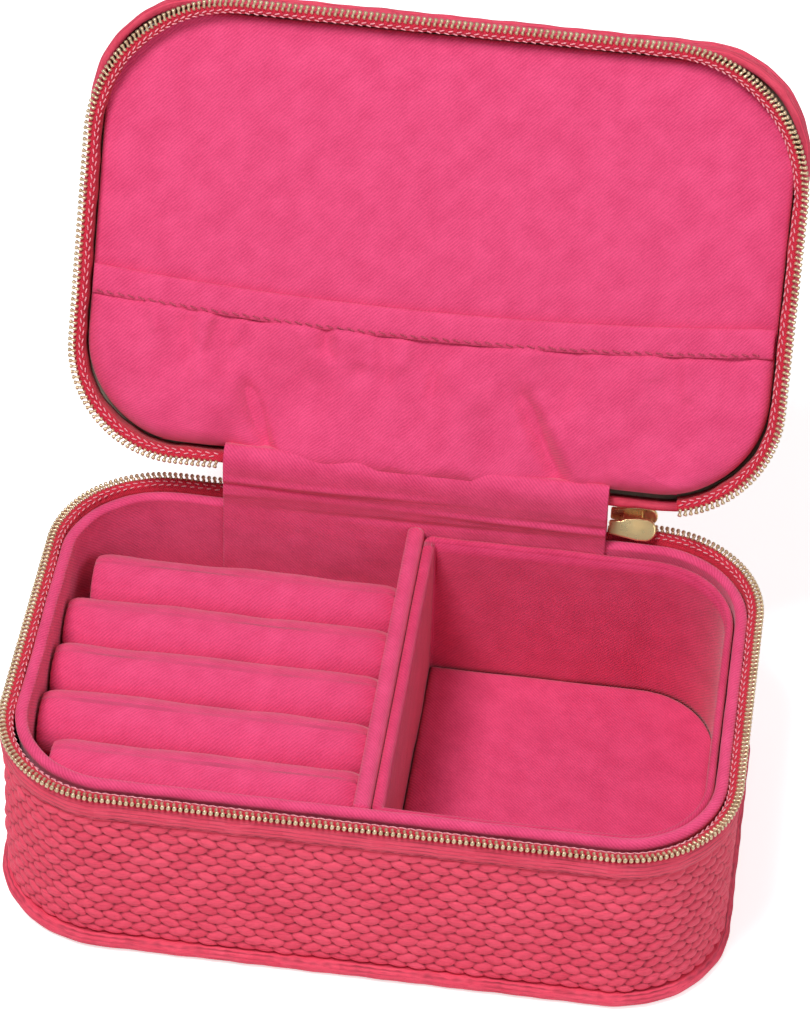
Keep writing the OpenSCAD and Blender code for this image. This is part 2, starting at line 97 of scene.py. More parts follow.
def make(name, verts, faces, material, smooth=True, attributes=()):
    """A mesh object from millimetre points, with per-point attributes for its material."""
    mesh = bpy.data.meshes.new(name)
    mesh.from_pydata((np.asarray(verts, float) * MM).tolist(), [], [list(map(int, f)) for f in faces])
    mesh.validate()
    for key, values in attributes:
        values = np.asarray(values, np.float32)
        kind = "FLOAT_VECTOR" if values.ndim == 2 else "FLOAT"
        field = "vector" if values.ndim == 2 else "value"
        mesh.attributes.new(key, kind, "POINT").data.foreach_set(field, values.ravel())
    mesh.polygons.foreach_set("use_smooth", [smooth] * len(mesh.polygons))
    obj = bpy.data.objects.new(name, mesh)
    bpy.context.scene.collection.objects.link(obj)
    obj.data.materials.append(material)
    return obj


def face_out(obj):
    """Turns the faces of a closed mesh outwards."""
    bm = bmesh.new()
    bm.from_mesh(obj.data)
    bmesh.ops.recalc_face_normals(bm, faces=bm.faces)
    bm.to_mesh(obj.data)
    bm.free()
    return obj


def placed(obj, body, slot, *nodes):
    """Sets a finished piece on its body and hides the CAD nodes that it stands for. Its finish, the slot argument, is
    not used.
    """
    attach(obj, body)
    if nodes:
        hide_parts(*nodes)
    return obj


def grid_faces(n, m, wrap_n, wrap_m, start=0):
    """Quads of an n by m grid of points, in rows of m."""
    i = np.arange(n if wrap_n else n - 1)
    j = np.arange(m if wrap_m else m - 1)
    a, b = np.meshgrid(i, j, indexing="ij")
    c, d = (a + 1) % n, (b + 1) % m
    quads = np.stack([a * m + b, c * m + b, c * m + d, a * m + d], -1).reshape(-1, 4)
    return (quads + start).tolist()


def surface(name, grid, material, wrap_u=False, wrap_v=False, caps=False, extra=(), cloth=None):
    """A mesh from a grid of points. Its cloth attribute holds the distances along the two directions."""
    n, m = grid.shape[:2]
    faces = grid_faces(n, m, wrap_u, wrap_v)
    if caps:
        faces += [list(range(m)), [(n - 1) * m + k for k in reversed(range(m))]]
    if cloth is None:
        u = np.zeros((n, m))
        v = np.zeros((n, m))
        u[1:] = np.cumsum(np.linalg.norm(np.diff(grid, axis=0), axis=-1), 0).mean(1)[:, None]
        v[:, 1:] = np.cumsum(np.linalg.norm(np.diff(grid, axis=1), axis=-1), 1).mean(0)[None]
        cloth = np.stack([u, v, np.zeros((n, m))], -1)
    data = [("cloth", cloth.reshape(-1, 3))] + [(k, np.broadcast_to(x, (n, m)).ravel()) for k, x in extra]
    return make(name, grid.reshape(-1, 3), faces, material, attributes=data)


class Ring:
    """A rounded rectangle about the origin, followed clockwise from the middle of its back."""

    def __init__(self, half_w, half_d, r):
        self.half_w, self.half_d, self.r = half_w, half_d, r
        self.long, self.deep, self.arc = 2 * (half_w - r), 2 * (half_d - r), math.pi * r / 2
        self.length = 2 * (self.long + self.deep + 2 * self.arc)

    def at(self, s):
        """Points and outward normals at distances s."""
        s = np.mod(np.asarray(s, float) + self.long / 2, self.length)
        p, n = np.zeros((s.size, 2)), np.zeros((s.size, 2))
        x, y, r = self.half_w - self.r, self.half_d - self.r, self.r
        corners = [(x, y, 90.0), (x, -y, 0.0), (-x, -y, -90.0), (-x, y, -180.0)]
        edges = [((-x, self.half_d), (1, 0), self.long), ((self.half_w, y), (0, -1), self.deep),
                 ((x, -self.half_d), (-1, 0), self.long), ((-self.half_w, -y), (0, 1), self.deep)]
        at = 0.0
        for (start, way, length), (cx, cy, first) in zip(edges, corners):
            on = (s >= at) & (s < at + length)
            p[on] = np.array(start) + np.outer(s[on] - at, way)
            n[on] = (-way[1], way[0])
            at += length
            on = (s >= at) & (s <= at + self.arc + 1e-6)
            a = np.radians(first) - (s[on] - at) / r
            n[on] = np.stack([np.cos(a), np.sin(a)], -1)
            p[on] = np.array((cx, cy)) + r * n[on]
            at += self.arc
        return p, n

    def sweep(self, s, profile):
        """Grid of points with the profile of (out, height) at each distance s."""
        p, n = self.at(s)
        profile = np.asarray(profile, float)
        if profile.ndim == 2:
            profile = np.broadcast_to(profile, (len(s), *profile.shape))
        flat = p[:, None, :] + n[:, None, :] * profile[..., :1]
        return np.concatenate([flat, profile[..., 1:]], -1)


ZIP = Ring(BOX_W / 2, BOX_D / 2, CORNER_R)
HOOP = Ring(HOOP_X, HOOP_Y, HOOP_R)
PANEL = Ring(PANEL_X, PANEL_Y, PANEL_R)


def edge_distance(x, y, half_w, half_d, r):
    """Distance from points inside a rounded rectangle to its edge."""
    qx, qy = np.abs(x) - (half_w - r), np.abs(y) - (half_d - r)
    outside = np.hypot(np.maximum(qx, 0), np.maximum(qy, 0))
    return r - outside - np.minimum(np.maximum(qx, qy), 0)


def plate_grid(half_w, half_d, r, nx, ny, crowd=0.75):
    """Points that fill a rounded rectangle, closer together near its edge."""
    t = np.linspace(-1, 1, nx)
    x = half_w * ((1 - crowd) * t + crowd * np.sin(t * math.pi / 2))
    past = np.clip(np.abs(x) - (half_w - r), 0, r)
    reach = half_d - r + np.sqrt(np.maximum(r * r - past * past, 0))
    q = np.linspace(-1, 1, ny)
    q = (1 - crowd) * q + crowd * np.sin(q * math.pi / 2)
    return np.repeat(x[:, None], ny, 1), reach[:, None] * q[None]


def slab(name, x, y, top, bottom, material, extra=(), shape=identity):
    """A closed plate between two height grids over the same points."""
    n, m = x.shape
    upper = np.stack([x, y, np.broadcast_to(top, x.shape)], -1)
    lower = np.stack([x, y, np.broadcast_to(bottom, x.shape)], -1)
    points = shape(np.concatenate([upper.reshape(-1, 3), lower.reshape(-1, 3)]))
    faces = grid_faces(n, m, False, False) + [f[::-1] for f in grid_faces(n, m, False, False, n * m)]
    rim = [k for k in range(m)] + [i * m + m - 1 for i in range(1, n)]
    rim += [(n - 1) * m + k for k in range(m - 2, -1, -1)] + [i * m for i in range(n - 2, 0, -1)]
    faces += [[a, b, b + n * m, a + n * m] for a, b in zip(rim, rim[1:] + rim[:1])]
    cloth = np.stack([x, y, np.zeros_like(x)], -1).reshape(-1, 3)
    data = [("cloth", np.concatenate([cloth, cloth]))]
    data += [(k, np.concatenate([np.broadcast_to(v, x.shape).ravel()] * 2)) for k, v in extra]
    return face_out(make(name, points, faces, material, attributes=data))


def waves(a, b, seed, sizes, heights):
    """Smooth wandering relief from a few crossing waves, for cloth that isn't quite flat."""
    rng = np.random.default_rng(seed)
    total = np.zeros(np.broadcast(a, b).shape)
    for size, height in zip(sizes, heights):
        for _ in range(5):
            turn, shift = rng.uniform(0, 2 * math.pi, 2)
            k = 2 * math.pi / (size * rng.uniform(0.7, 1.4))
            total += height / 2.2 * np.sin(k * (a * math.cos(turn) + b * math.sin(turn)) + shift)
    return total


# ---------- woven raffia ----------

STITCH_L, STITCH_ROW = 4.1, 2.55


def stitch_relief(u, v, period=None):
    """Height, tone and depth of rows of interlocked leaf-shaped raffia stitches at (u, v). The depth is later used as
    painted shade in the gaps between stitches.
    """
    row = np.floor(v / STITCH_ROW)
    best = np.zeros(np.broadcast(u, v).shape)
    tone = np.zeros_like(best)
    columns = None if period is None else max(1, round(period / STITCH_L))
    pitch = STITCH_L if period is None else period / columns
    for dr in (-1, 0, 1):
        r = row + dr
        shift = np.where(np.mod(r, 2) < 1, 0.0, 0.5)
        col = np.floor(u / pitch - shift)
        for dc in (-1, 0, 1):
            c = col + dc
            cell = c if columns is None else np.mod(c, columns)
            pick = np.mod(np.sin(cell * 12.9898 + r * 78.233) * 43758.5453, 1.0)
            tilt = np.where(np.mod(r, 2) < 1, 0.30, -0.30) + 0.16 * (pick - 0.5)
            du = u - (c + 0.5 + shift) * pitch
            dv = v - (r + 0.5) * STITCH_ROW
            along, across = du + dv * tilt, dv - du * tilt
            dome = 1 - (along / (0.64 * pitch)) ** 2 - (across / (0.60 * STITCH_ROW)) ** 2
            height = np.sqrt(np.maximum(dome, 0)) * (0.86 + 0.28 * pick)
            higher = height > best
            best = np.where(higher, height, best)
            tone = np.where(higher, pick, tone)
    # The third value is high where a stitch stands low: painted shade for the gaps between stitches.
    return best, tone, 1 - np.clip(best, 0, 1)


RELIEF = 1.0


# ---------- materials ----------

def linear(r, g, b):
    """Scene-linear colour from 8-bit sRGB levels."""
    out = []
    for level in (r, g, b):
        c = level / 255
        out.append(c / 12.92 if c <= 0.04045 else ((c + 0.055) / 1.055) ** 2.4)
    return (*out, 1.0)


class Graph:
    """Short ways to lay out a material's nodes."""

    def __init__(self, name):
        self.material = bpy.data.materials.new(name)
        self.material.use_nodes = True
        self.nodes, self.links = self.material.node_tree.nodes, self.material.node_tree.links
        self.shader = self.nodes["Principled BSDF"]

    def put(self, socket, value):
        if isinstance(value, bpy.types.NodeSocket):
            self.links.new(value, socket)
        else:
            socket.default_value = value

    def node(self, kind, inputs=(), **settings):
        made = self.nodes.new(kind)
        for key, value in settings.items():
            setattr(made, key, value)
        for key, value in dict(inputs).items():
            self.put(made.inputs[key], value)
        return made

    def math(self, operation, *values):
        return self.node("ShaderNodeMath", enumerate(values), operation=operation).outputs[0]

    def attribute(self, name, output="Fac"):
        return self.node("ShaderNodeAttribute", attribute_name=name).outputs[output]

    def stretched(self, vector, scale):
        inputs = {"Vector": vector, "Scale": scale}
        return self.node("ShaderNodeMapping", inputs).outputs[0]

    def noise(self, vector, scale, detail=3.0, roughness=0.6):
        inputs = {"Vector": vector, "Scale": scale, "Detail": detail, "Roughness": roughness}
        return self.node("ShaderNodeTexNoise", inputs).outputs["Fac"]

    def ramp(self, value, low, high, dark, light):
        inputs = {"Value": value, "From Min": low, "From Max": high, "To Min": dark, "To Max": light}
        return self.node("ShaderNodeMapRange", inputs).outputs[0]

    def mix(self, factor, a, b, blend="MIX"):
        made = self.nodes.new("ShaderNodeMix")
        made.data_type = "RGBA"
        made.blend_type = blend
        self.put(made.inputs[0], factor)
        self.put(made.inputs[6], a)
        self.put(made.inputs[7], b)
        return made.outputs[2]

    def bump(self, height, distance, strength=1.0, normal=None):
        inputs = {"Height": height, "Distance": distance, "Strength": strength}
        made = self.node("ShaderNodeBump", inputs)
        if normal is not None:
            self.links.new(normal, made.inputs["Normal"])
        return made.outputs[0]

    def shade(self, **values):
        for key, value in values.items():
            self.put(self.shader.inputs[key.replace("_", " ")], value)
        return self.material


def bands(g, u, v, across_u, across_v, wobble):
    """Evenly spaced ridges, from 0 to 1, that run diagonally over the cloth."""
    turns = g.math("ADD", g.math("MULTIPLY", u, across_u), g.math("MULTIPLY", v, across_v))
    return g.math("MULTIPLY_ADD", g.math("SINE", g.math("ADD", turns, wobble)), 0.5, 0.5)


def twill(name, lit, dark, pitch=0.62, slant=1.0, sheen=0.25):
    """Cotton twill: fine diagonal ridges, mottled colour, and a soft nap."""
    g = Graph(name)
    cloth = g.attribute("cloth", "Vector")
    split = g.node("ShaderNodeSeparateXYZ", {"Vector": cloth})
    u, v = split.outputs[0], split.outputs[1]
    turn = 2 * math.pi / pitch * math.sqrt(0.5)
    wobble = g.ramp(g.noise(cloth, 0.55, 2.0), 0.3, 0.7, -0.9, 0.9)
    ridge = bands(g, u, v, turn, turn * slant, wobble)
    thread = bands(g, u, v, turn * 1.9, -turn * 2.3 * slant, wobble)
    mottle = g.noise(cloth, 0.16, 4.0, 0.65)
    speck = g.noise(cloth, 2.3, 3.0, 0.7)
    shade = g.math("MULTIPLY_ADD", ridge, 0.36, g.ramp(mottle, 0.35, 0.65, 0.0, 0.28))
    shade = g.math("MULTIPLY_ADD", g.ramp(speck, 0.35, 0.65, 0.0, 1.0), 0.30, shade)
    shade = g.math("MULTIPLY_ADD", thread, 0.08, shade)
    colour = g.mix(g.math("MINIMUM", shade, 1.0), dark, lit)
    relief = g.math("MULTIPLY_ADD", ridge, 0.6, g.math("MULTIPLY", speck, 0.7))
    normal = g.bump(relief, 0.00009, 0.8)
    rough = g.ramp(speck, 0.3, 0.7, 0.72, 0.9)
    return g.shade(Base_Color=colour, Roughness=rough, Normal=normal, Sheen_Weight=sheen,
                   Sheen_Roughness=0.5, Specular_IOR_Level=0.2)


def raffia(name, along_u=True, dark=(112, 12, 34), mid=(222, 50, 82), light=(250, 92, 120)):
    """Raffia straw: long fibre streaks, a tone for each stitch, and painted shade in the gaps between stitches."""
    g = Graph(name)
    cloth = g.attribute("cloth", "Vector")
    fibre = g.stretched(cloth, (0.35, 4.2, 1.0) if along_u else (4.2, 0.35, 1.0))
    streak = g.noise(fibre, 1.0, 5.0, 0.7)
    fine = g.noise(g.stretched(fibre, (2.4, 2.4, 1.0)), 1.0, 3.0, 0.6)
    drift = g.noise(cloth, 0.05, 3.0)
    tone = g.attribute("tone")
    deep = g.attribute("deep")
    level = g.math("MULTIPLY_ADD", g.ramp(streak, 0.3, 0.7, 0.0, 1.0), 0.42, g.math("MULTIPLY", tone, 0.28))
    level = g.math("MULTIPLY_ADD", g.ramp(fine, 0.35, 0.65, 0.0, 1.0), 0.18, level)
    level = g.math("MULTIPLY_ADD", g.ramp(drift, 0.35, 0.65, 0.0, 1.0), 0.14, level)
    colour = g.mix(level, linear(*mid), linear(*light))
    colour = g.mix(g.ramp(streak, 0.26, 0.44, 0.55, 0.0), colour, linear(*dark))
    # Painted shade: the deep attribute darkens the gaps between stitches and the grooves and creases of the bands.
    colour = g.mix(g.ramp(deep, 0.35, 0.95, 0.0, 0.9), colour, linear(*dark))
    normal = g.bump(g.math("MULTIPLY_ADD", fine, 0.4, streak), 0.00025, 0.7)
    rough = g.ramp(streak, 0.3, 0.7, 0.62, 0.42)
    return g.shade(Base_Color=colour, Roughness=rough, Normal=normal, Specular_IOR_Level=0.35)


def tape_cloth():
    """Coarse woven polyester tape."""
    g = Graph("zip_tape_weave")
    cloth = g.attribute("cloth", "Vector")
    split = g.node("ShaderNodeSeparateXYZ", {"Vector": cloth})
    u, v = split.outputs[0], split.outputs[1]
    turn = 2 * math.pi / 0.5
    warp = bands(g, u, v, turn, turn * 0.5, 0.0)
    weft = bands(g, u, v, turn * 0.6, -turn, 0.0)
    weave = g.math("MULTIPLY_ADD", warp, 0.55, g.math("MULTIPLY", weft, 0.45))
    mottle = g.noise(cloth, 0.9, 4.0)
    level = g.math("MULTIPLY_ADD", weave, 0.6, g.ramp(mottle, 0.3, 0.7, 0.0, 0.4))
    colour = g.mix(level, linear(176, 18, 46), linear(236, 44, 74))
    return g.shade(Base_Color=colour, Roughness=g.ramp(mottle, 0.3, 0.7, 0.62, 0.8),
                   Normal=g.bump(weave, 0.00016, 0.9), Sheen_Weight=0.15, Specular_IOR_Level=0.3)


def metal(name, colour, worn, rough_low, rough_high, metallic=1.0):
    """Plated metal with faint scratches, dull patches and darker worn patches."""
    g = Graph(name)
    place = g.node("ShaderNodeTexCoord").outputs["Object"]
    patch = g.noise(place, 260.0, 4.0)
    scratch = g.noise(g.stretched(place, (300.0, 2600.0, 2600.0)), 1.0, 3.0, 0.7)
    tint = g.mix(g.ramp(patch, 0.35, 0.7, 0.0, 0.6), linear(*colour), linear(*worn))
    rough = g.math("MULTIPLY_ADD", g.ramp(scratch, 0.45, 0.7, 0.0, 1.0), 0.08,
                   g.ramp(patch, 0.3, 0.7, rough_low, rough_high))
    return g.shade(Base_Color=tint, Metallic=metallic, Roughness=rough, Normal=g.bump(scratch, 0.00002, 0.5))


def plain_inner(name, dark, light, scale, depth):
    """Board, foam or elastic inside the covers: flecked, matt and slightly uneven."""
    g = Graph(name)
    place = g.node("ShaderNodeTexCoord").outputs["Object"]
    fleck = g.noise(place, scale, 5.0, 0.7)
    cloud = g.noise(place, scale / 9, 3.0)
    level = g.math("MULTIPLY_ADD", g.ramp(fleck, 0.3, 0.7, 0.0, 1.0), 0.6, g.ramp(cloud, 0.3, 0.7, 0.0, 0.4))
    return g.shade(Base_Color=g.mix(level, linear(*dark), linear(*light)),
                   Roughness=g.ramp(fleck, 0.3, 0.7, 0.78, 0.95), Normal=g.bump(fleck, depth, 0.7))


def thread(name, dark, light):
    """Twisted sewing thread."""
    g = Graph(name)
    place = g.node("ShaderNodeTexCoord").outputs["Object"]
    ply = g.noise(g.stretched(place, (5200.0, 5200.0, 5200.0)), 1.0, 2.0)
    return g.shade(Base_Color=g.mix(g.ramp(ply, 0.35, 0.65, 0.0, 1.0), linear(*dark), linear(*light)),
                   Roughness=g.ramp(ply, 0.3, 0.7, 0.55, 0.8), Normal=g.bump(ply, 0.00006, 0.8))


LINING = twill("lining_twill", linear(247, 88, 140), linear(202, 50, 98))
# A darker copy of the lining twill for the compartment walls and the tray under the rolls: painted shade of the
# recesses.
LINING_SHADED = twill("lining_twill_painted_shade", linear(236, 74, 124), linear(190, 38, 84), slant=-1.0)
STRAW = raffia("raffia_stitched")
STRAW_BAND = raffia("raffia_band")
TAPE_CLOTH = tape_cloth()
TOOTH = metal("champagne_teeth", (232, 210, 176), (182, 150, 112), 0.28, 0.42, 0.75)
GOLD = metal("polished_gold", (255, 232, 176), (244, 208, 142), 0.22, 0.34, 0.82)
BOARD = plain_inner("grey_board", (112, 102, 90), (150, 138, 122), 900.0, 0.0001)
FOAM = plain_inner("pale_foam", (214, 206, 182), (242, 236, 218), 1400.0, 0.0003)
ELASTIC = plain_inner("white_elastic", (214, 212, 206), (244, 243, 238), 2200.0, 0.0002)
PALE_THREAD = thread("pale_thread", (226, 120, 140), (252, 190, 196))
# Pink thread with darker tones than the real thread: partly the thread, partly painted shade of the crease along the
# pocket hem's stitch line.
PINK_THREAD_SHADED = thread("pink_thread_shaded", (138, 18, 50), (224, 90, 124))


# ---------- raffia shell ----------

def band_profile(inset, foot, height, bulge, n, back):
    """Closed profile of a band with an arched face and a flat back."""
    t = np.linspace(0, 1, n)
    face = np.stack([-inset + bulge * np.sin(math.pi * t) ** 0.7, foot + t * height], -1)
    return np.concatenate([face, [[-back, foot + height], [-back, foot]]])


def straw_wall(name, foot, height, body, node, shape=identity):
    """A wall of stitched raffia round the box."""
    s = np.linspace(0, ZIP.length, int(2000 * FINE), endpoint=False)
    z = np.linspace(0, height, max(8, int(height / 0.24 * FINE)))
    u, v = np.meshgrid(s, z, indexing="ij")
    # deep carries painted shade for the gaps between stitches; the hidden back rows get full shade.
    relief, tone, deep = stitch_relief(u, v + 0.3, ZIP.length)
    tuck = 0.9 * np.exp(-v / 0.7) + 0.5 * np.exp(-(height - v) / 0.6)
    out = -WALL_INSET - 0.6 + RELIEF * relief - tuck + waves(u, v, 3, (60, 25), (0.10, 0.08))
    profile = np.stack([out, foot + v], -1)
    back = np.broadcast_to(np.array([[-WALL_INSET - COVER_T, foot + height], [-WALL_INSET - COVER_T, foot]]),
                           (len(s), 2, 2))
    grid = shape(ZIP.sweep(s, np.concatenate([profile, back], 1)))
    pad = np.zeros((len(s), 2))
    cloth = np.stack([np.concatenate([u, u[:, :2]], 1), np.concatenate([v, v[:, -1:], v[:, :1]], 1),
                      np.zeros((len(s), len(z) + 2))], -1)
    extra = (("tone", np.concatenate([tone, pad], 1)), ("deep", np.concatenate([deep, pad + 1], 1)))
    obj = face_out(surface(name, grid, STRAW, wrap_u=True, wrap_v=True, extra=extra, cloth=cloth))
    return placed(obj, body, RAFFIA, node)


def straw_band(name, profile, body, node, seed, shape=identity, ring=ZIP, rough=0.1, crease=None):
    """A folded raffia band: long fibres along it, slightly uneven, with stitch dimples along one line."""
    s = np.linspace(0, ring.length, int(1500 * FINE), endpoint=False)
    profile = np.asarray(profile, float)
    m = len(profile)
    across = np.concatenate([[0], np.cumsum(np.linalg.norm(np.diff(profile, axis=0), axis=1))])
    u, v = np.meshgrid(s, across, indexing="ij")
    loop = 2 * math.pi * s / ring.length
    wander = sum(np.sin(loop * k + p)[:, None] * a for k, p, a in ((31, seed, 0.06), (67, seed * 2, 0.05)))
    cord = 0.10 * np.sin(v * 2 * math.pi / 0.95 + 0.8 * np.sin(u * 0.21 + seed)) * rough / 0.1
    shrink = np.ones(m)
    shrink[-2:] = 0
    out = (wander + cord * 0.6) * shrink
    if crease is not None:
        line = np.exp(-((profile[:, 1] - crease) / 0.34) ** 2)
        dimple = 0.5 + 0.5 * np.cos(s * 2 * math.pi / (ring.length / round(ring.length / 3.1)))
        out = out - 0.42 * line[None] * (0.45 + 0.55 * dimple[:, None]) * shrink
    grid = np.repeat(profile[None], len(s), 0).copy()
    grid[..., 0] += out
    pick = np.mod(np.sin(np.floor(u / 3.1) * 12.9898 + np.floor(v / 0.95) * 7.1) * 43758.5453, 1)
    # Painted shade: deep is darker in the grooves between the cords and in the pressed stitch dimples.
    deep = np.clip(0.30 - cord * 3.2 - out * 0.8, 0, 1)
    cloth = np.stack([u, v, np.zeros_like(u)], -1)
    obj = surface(name, shape(ring.sweep(s, grid)), STRAW_BAND, wrap_u=True, wrap_v=True,
                  extra=(("tone", pick), ("deep", deep)), cloth=cloth)
    return placed(face_out(obj), body, RAFFIA, node)


def straw_panel(name, inset, face, back, body, node, shape=identity):
    """A flat panel of stitched raffia. Its relief is on the face's side."""
    half_w, half_d, r = BOX_W / 2 - inset, BOX_D / 2 - inset, CORNER_R - inset
    x, y = plate_grid(half_w, half_d, r, int(400 * FINE), int(270 * FINE), 0.1)
    # deep carries painted shade for the gaps between stitches.
    relief, tone, deep = stitch_relief(x + 200, y + 200)
    rise = np.clip(edge_distance(x, y, half_w, half_d, r) / 1.6, 0, 1)
    side = math.copysign(1.0, face - back)
    top = face + side * ((RELIEF * relief - 0.45) * rise - 0.3 * (1 - rise))
    obj = slab(name, x, y, top, back, STRAW, (("tone", tone), ("deep", deep)), shape)
    return placed(obj, body, RAFFIA, node)


def welt_profile(inset, foot):
    """Round-nosed piping of raffia."""
    r = WELT_H / 2
    a = np.linspace(math.pi / 2, -math.pi / 2, 12)
    nose = np.stack([-inset - r + r * np.cos(a), foot + r + r * np.sin(a)], -1)[::-1]
    return np.concatenate([nose, [[-inset - WELT_W, foot + WELT_H], [-inset - WELT_W, foot]]])


straw_wall("base_raffia_wall", WELT_H + 0.05, HEM_FOOT - WELT_H - 0.1, "base", "base_wall_cover")
straw_band("base_raffia_hem", band_profile(WALL_INSET, HEM_FOOT, HEM_H, HEM_BULGE + 0.35, 16, WALL_INSET + COVER_T),
           "base", "base_hem", 1.0, crease=HEM_FOOT + 0.75)
straw_band("base_raffia_welt", welt_profile(0, 0), "base", "base_welt", 2.0, crease=WELT_H - 0.5)
straw_panel("base_raffia_underside", WELT_W + 0.1, 0.35, 1.2, "base", "base_bottom_cover")
LID_WALL_FOOT, LID_WALL_TOP = ZIP_RISE + HEM_H + 0.1, LID_H - WELT_H - 0.1
straw_wall("lid_raffia_wall", LID_WALL_FOOT, LID_WALL_TOP - LID_WALL_FOOT, "lid", "lid_wall_cover", opened)
straw_band("lid_raffia_hem", band_profile(WALL_INSET, ZIP_RISE, HEM_H, HEM_BULGE + 0.35, 16, WALL_INSET + COVER_T),
           "lid", "lid_hem", 3.0, opened, crease=ZIP_RISE + HEM_H - 0.75)
straw_band("lid_raffia_welt", welt_profile(LID_WELT_INSET, LID_H - WELT_H), "lid", "lid_welt", 4.0, opened,
           crease=LID_H - WELT_H + 0.5)
straw_panel("lid_raffia_top", LID_WELT_INSET + WELT_W + 0.1, LID_H - 0.1, LID_H - 1.2, "lid", "lid_top_cover", opened)


# ---------- zip ----------

class LidZip(Ring):
    """The lid's zip ring, whose two free corners hang in a wider curve than the box's own."""

    def __init__(self, wide):
        super().__init__(BOX_W / 2, BOX_D / 2, CORNER_R)
        self.wide = wide

    def at(self, s):
        p, n = super().at(s)
        x, y = self.half_w - self.wide, self.half_d - self.wide
        centre = np.stack([np.sign(p[:, 0]) * x, np.full(len(p), -y)], -1)
        on = (np.abs(p[:, 0]) > x) & (p[:, 1] < -y)
        way = p - centre
        way /= np.maximum(np.linalg.norm(way, axis=1), 1e-9)[:, None]
        p[on] = (centre + self.wide * way)[on]
        n[on] = way[on]
        return p, n


LID_ZIP = LidZip(33.0)
LID_START = 58.6


def zip_tape(name, ring, first, last, foot, lip, body, node, shape=identity, seed=0.0):
    """Tape from behind the hem, curling out to the teeth."""
    s = np.linspace(first, last, int(1100 * FINE))
    a = np.linspace(0, math.pi / 2, 7)
    bend_r, bend_side = 1.5, math.copysign(1.0, lip - foot)
    up = np.stack([np.full(5, -TAPE_IN - TAPE_T), np.linspace(foot, lip - bend_side * bend_r, 5)], -1)
    turn = np.stack([-TAPE_IN - TAPE_T + bend_r * (1 - np.cos(a)), lip - bend_side * bend_r * (1 - np.sin(a))], -1)
    inner = np.concatenate([up, turn, [[-COIL_W + 0.9, lip + bend_side * 0.05]]])
    step = np.gradient(inner, axis=0)
    normal = np.stack([step[:, 1], -step[:, 0]], -1) / np.linalg.norm(step, axis=1)[:, None] * bend_side
    outer = inner + normal * TAPE_T * 0.8
    profile = np.concatenate([inner, outer[::-1]])
    loop = np.repeat(profile[None], len(s), 0).copy()
    ripple = 0.10 * np.sin(s * 0.31 + seed) + 0.07 * np.sin(s * 0.83 + 2 * seed)
    loop[..., 0] += ripple[:, None]
    across = np.concatenate([[0], np.cumsum(np.linalg.norm(np.diff(profile, axis=0), axis=1))])
    u, v = np.meshgrid(s, across, indexing="ij")
    obj = surface(name, shape(ring.sweep(s, loop)), TAPE_CLOTH, wrap_v=True, caps=True,
                  cloth=np.stack([u, v, np.zeros_like(u)], -1))
    return placed(face_out(obj), body, TAPE, node)


def capsule(length, r, n=6):
    """Points and faces of a short rounded thread along +X."""
    ends = [(-length / 2, 0.0), (-length / 2 + r * 0.4, r * 0.8), (-length / 4, r), (length / 4, r),
            (length / 2 - r * 0.4, r * 0.8), (length / 2, 0.0)]
    a = np.linspace(0, 2 * math.pi, n, endpoint=False)
    points = np.array([[[x, rr * math.cos(k), rr * math.sin(k)] for k in a] for x, rr in ends]).reshape(-1, 3)
    faces = grid_faces(len(ends), n, False, True)
    return points, faces


def scattered(name, pattern, places, axes, material, body, slot, nodes=(), shape=identity, parent=None):
    """Copies of one small shape, each at its place with its own axes, as one mesh."""
    points, faces = pattern
    turned = np.einsum("pk,nkj->npj", points, axes) + places[:, None, :]
    count = len(points)
    all_faces = [[i * count + k for k in f] for i in range(len(places)) for f in faces]
    cloth = np.tile(points, (len(places), 1))
    obj = make(name, shape(turned.reshape(-1, 3)), all_faces, material, attributes=[("cloth", cloth)])
    face_out(obj)
    return placed(obj, body, slot, *nodes)


def dashes(name, ring, s, out, z, length, material, body, slot, shape=identity, tilt=0.0, r=0.16):
    """A row of stitches along a ring at a distance out and a height."""
    p, n = ring.at(s)
    along = np.stack([n[:, 1], -n[:, 0], np.zeros(len(s))], -1)
    outward = np.concatenate([n, np.zeros((len(s), 1))], -1)
    upward = np.tile([0.0, 0.0, 1.0], (len(s), 1))
    lean = along * math.cos(tilt) + outward * math.sin(tilt)
    side = outward * math.cos(tilt) - along * math.sin(tilt)
    places = np.concatenate([p + n * np.reshape(out, (-1, 1)), np.broadcast_to(np.reshape(z, (-1, 1)), (len(s), 1))], 1)
    return scattered(name, capsule(length, r), places, np.stack([lean, side, upward], 1), material, body, slot,
                     shape=shape)


def tooth_shape(side):
    """One turn of the coil: a wire across the row with a fat head at its outer end, and a root bump."""
    t = np.linspace(0, 1, 9)
    x = 0.46 * np.sin(t * math.pi * 2) * 0.35
    y = -COIL_W + 0.35 + t * (COIL_W - 0.5)
    z = side * (COIL_H / 2 + 0.16 * np.sin(t * math.pi)) + 0 * t
    r = np.array([0.16, 0.40, 0.44, 0.36, 0.34, 0.38, 0.50, 0.52, 0.18])
    n = 8
    a = np.linspace(0, 2 * math.pi, n, endpoint=False)
    ring = np.stack([x[:, None] + r[:, None] * 0.92 * np.cos(a), np.repeat(y[:, None], n, 1),
                     z[:, None] + r[:, None] * 1.25 * np.sin(a)], -1)
    faces = grid_faces(len(t), n, False, True) + [list(range(n)), [(len(t) - 1) * n + k for k in range(n)]]
    return ring.reshape(-1, 3), faces


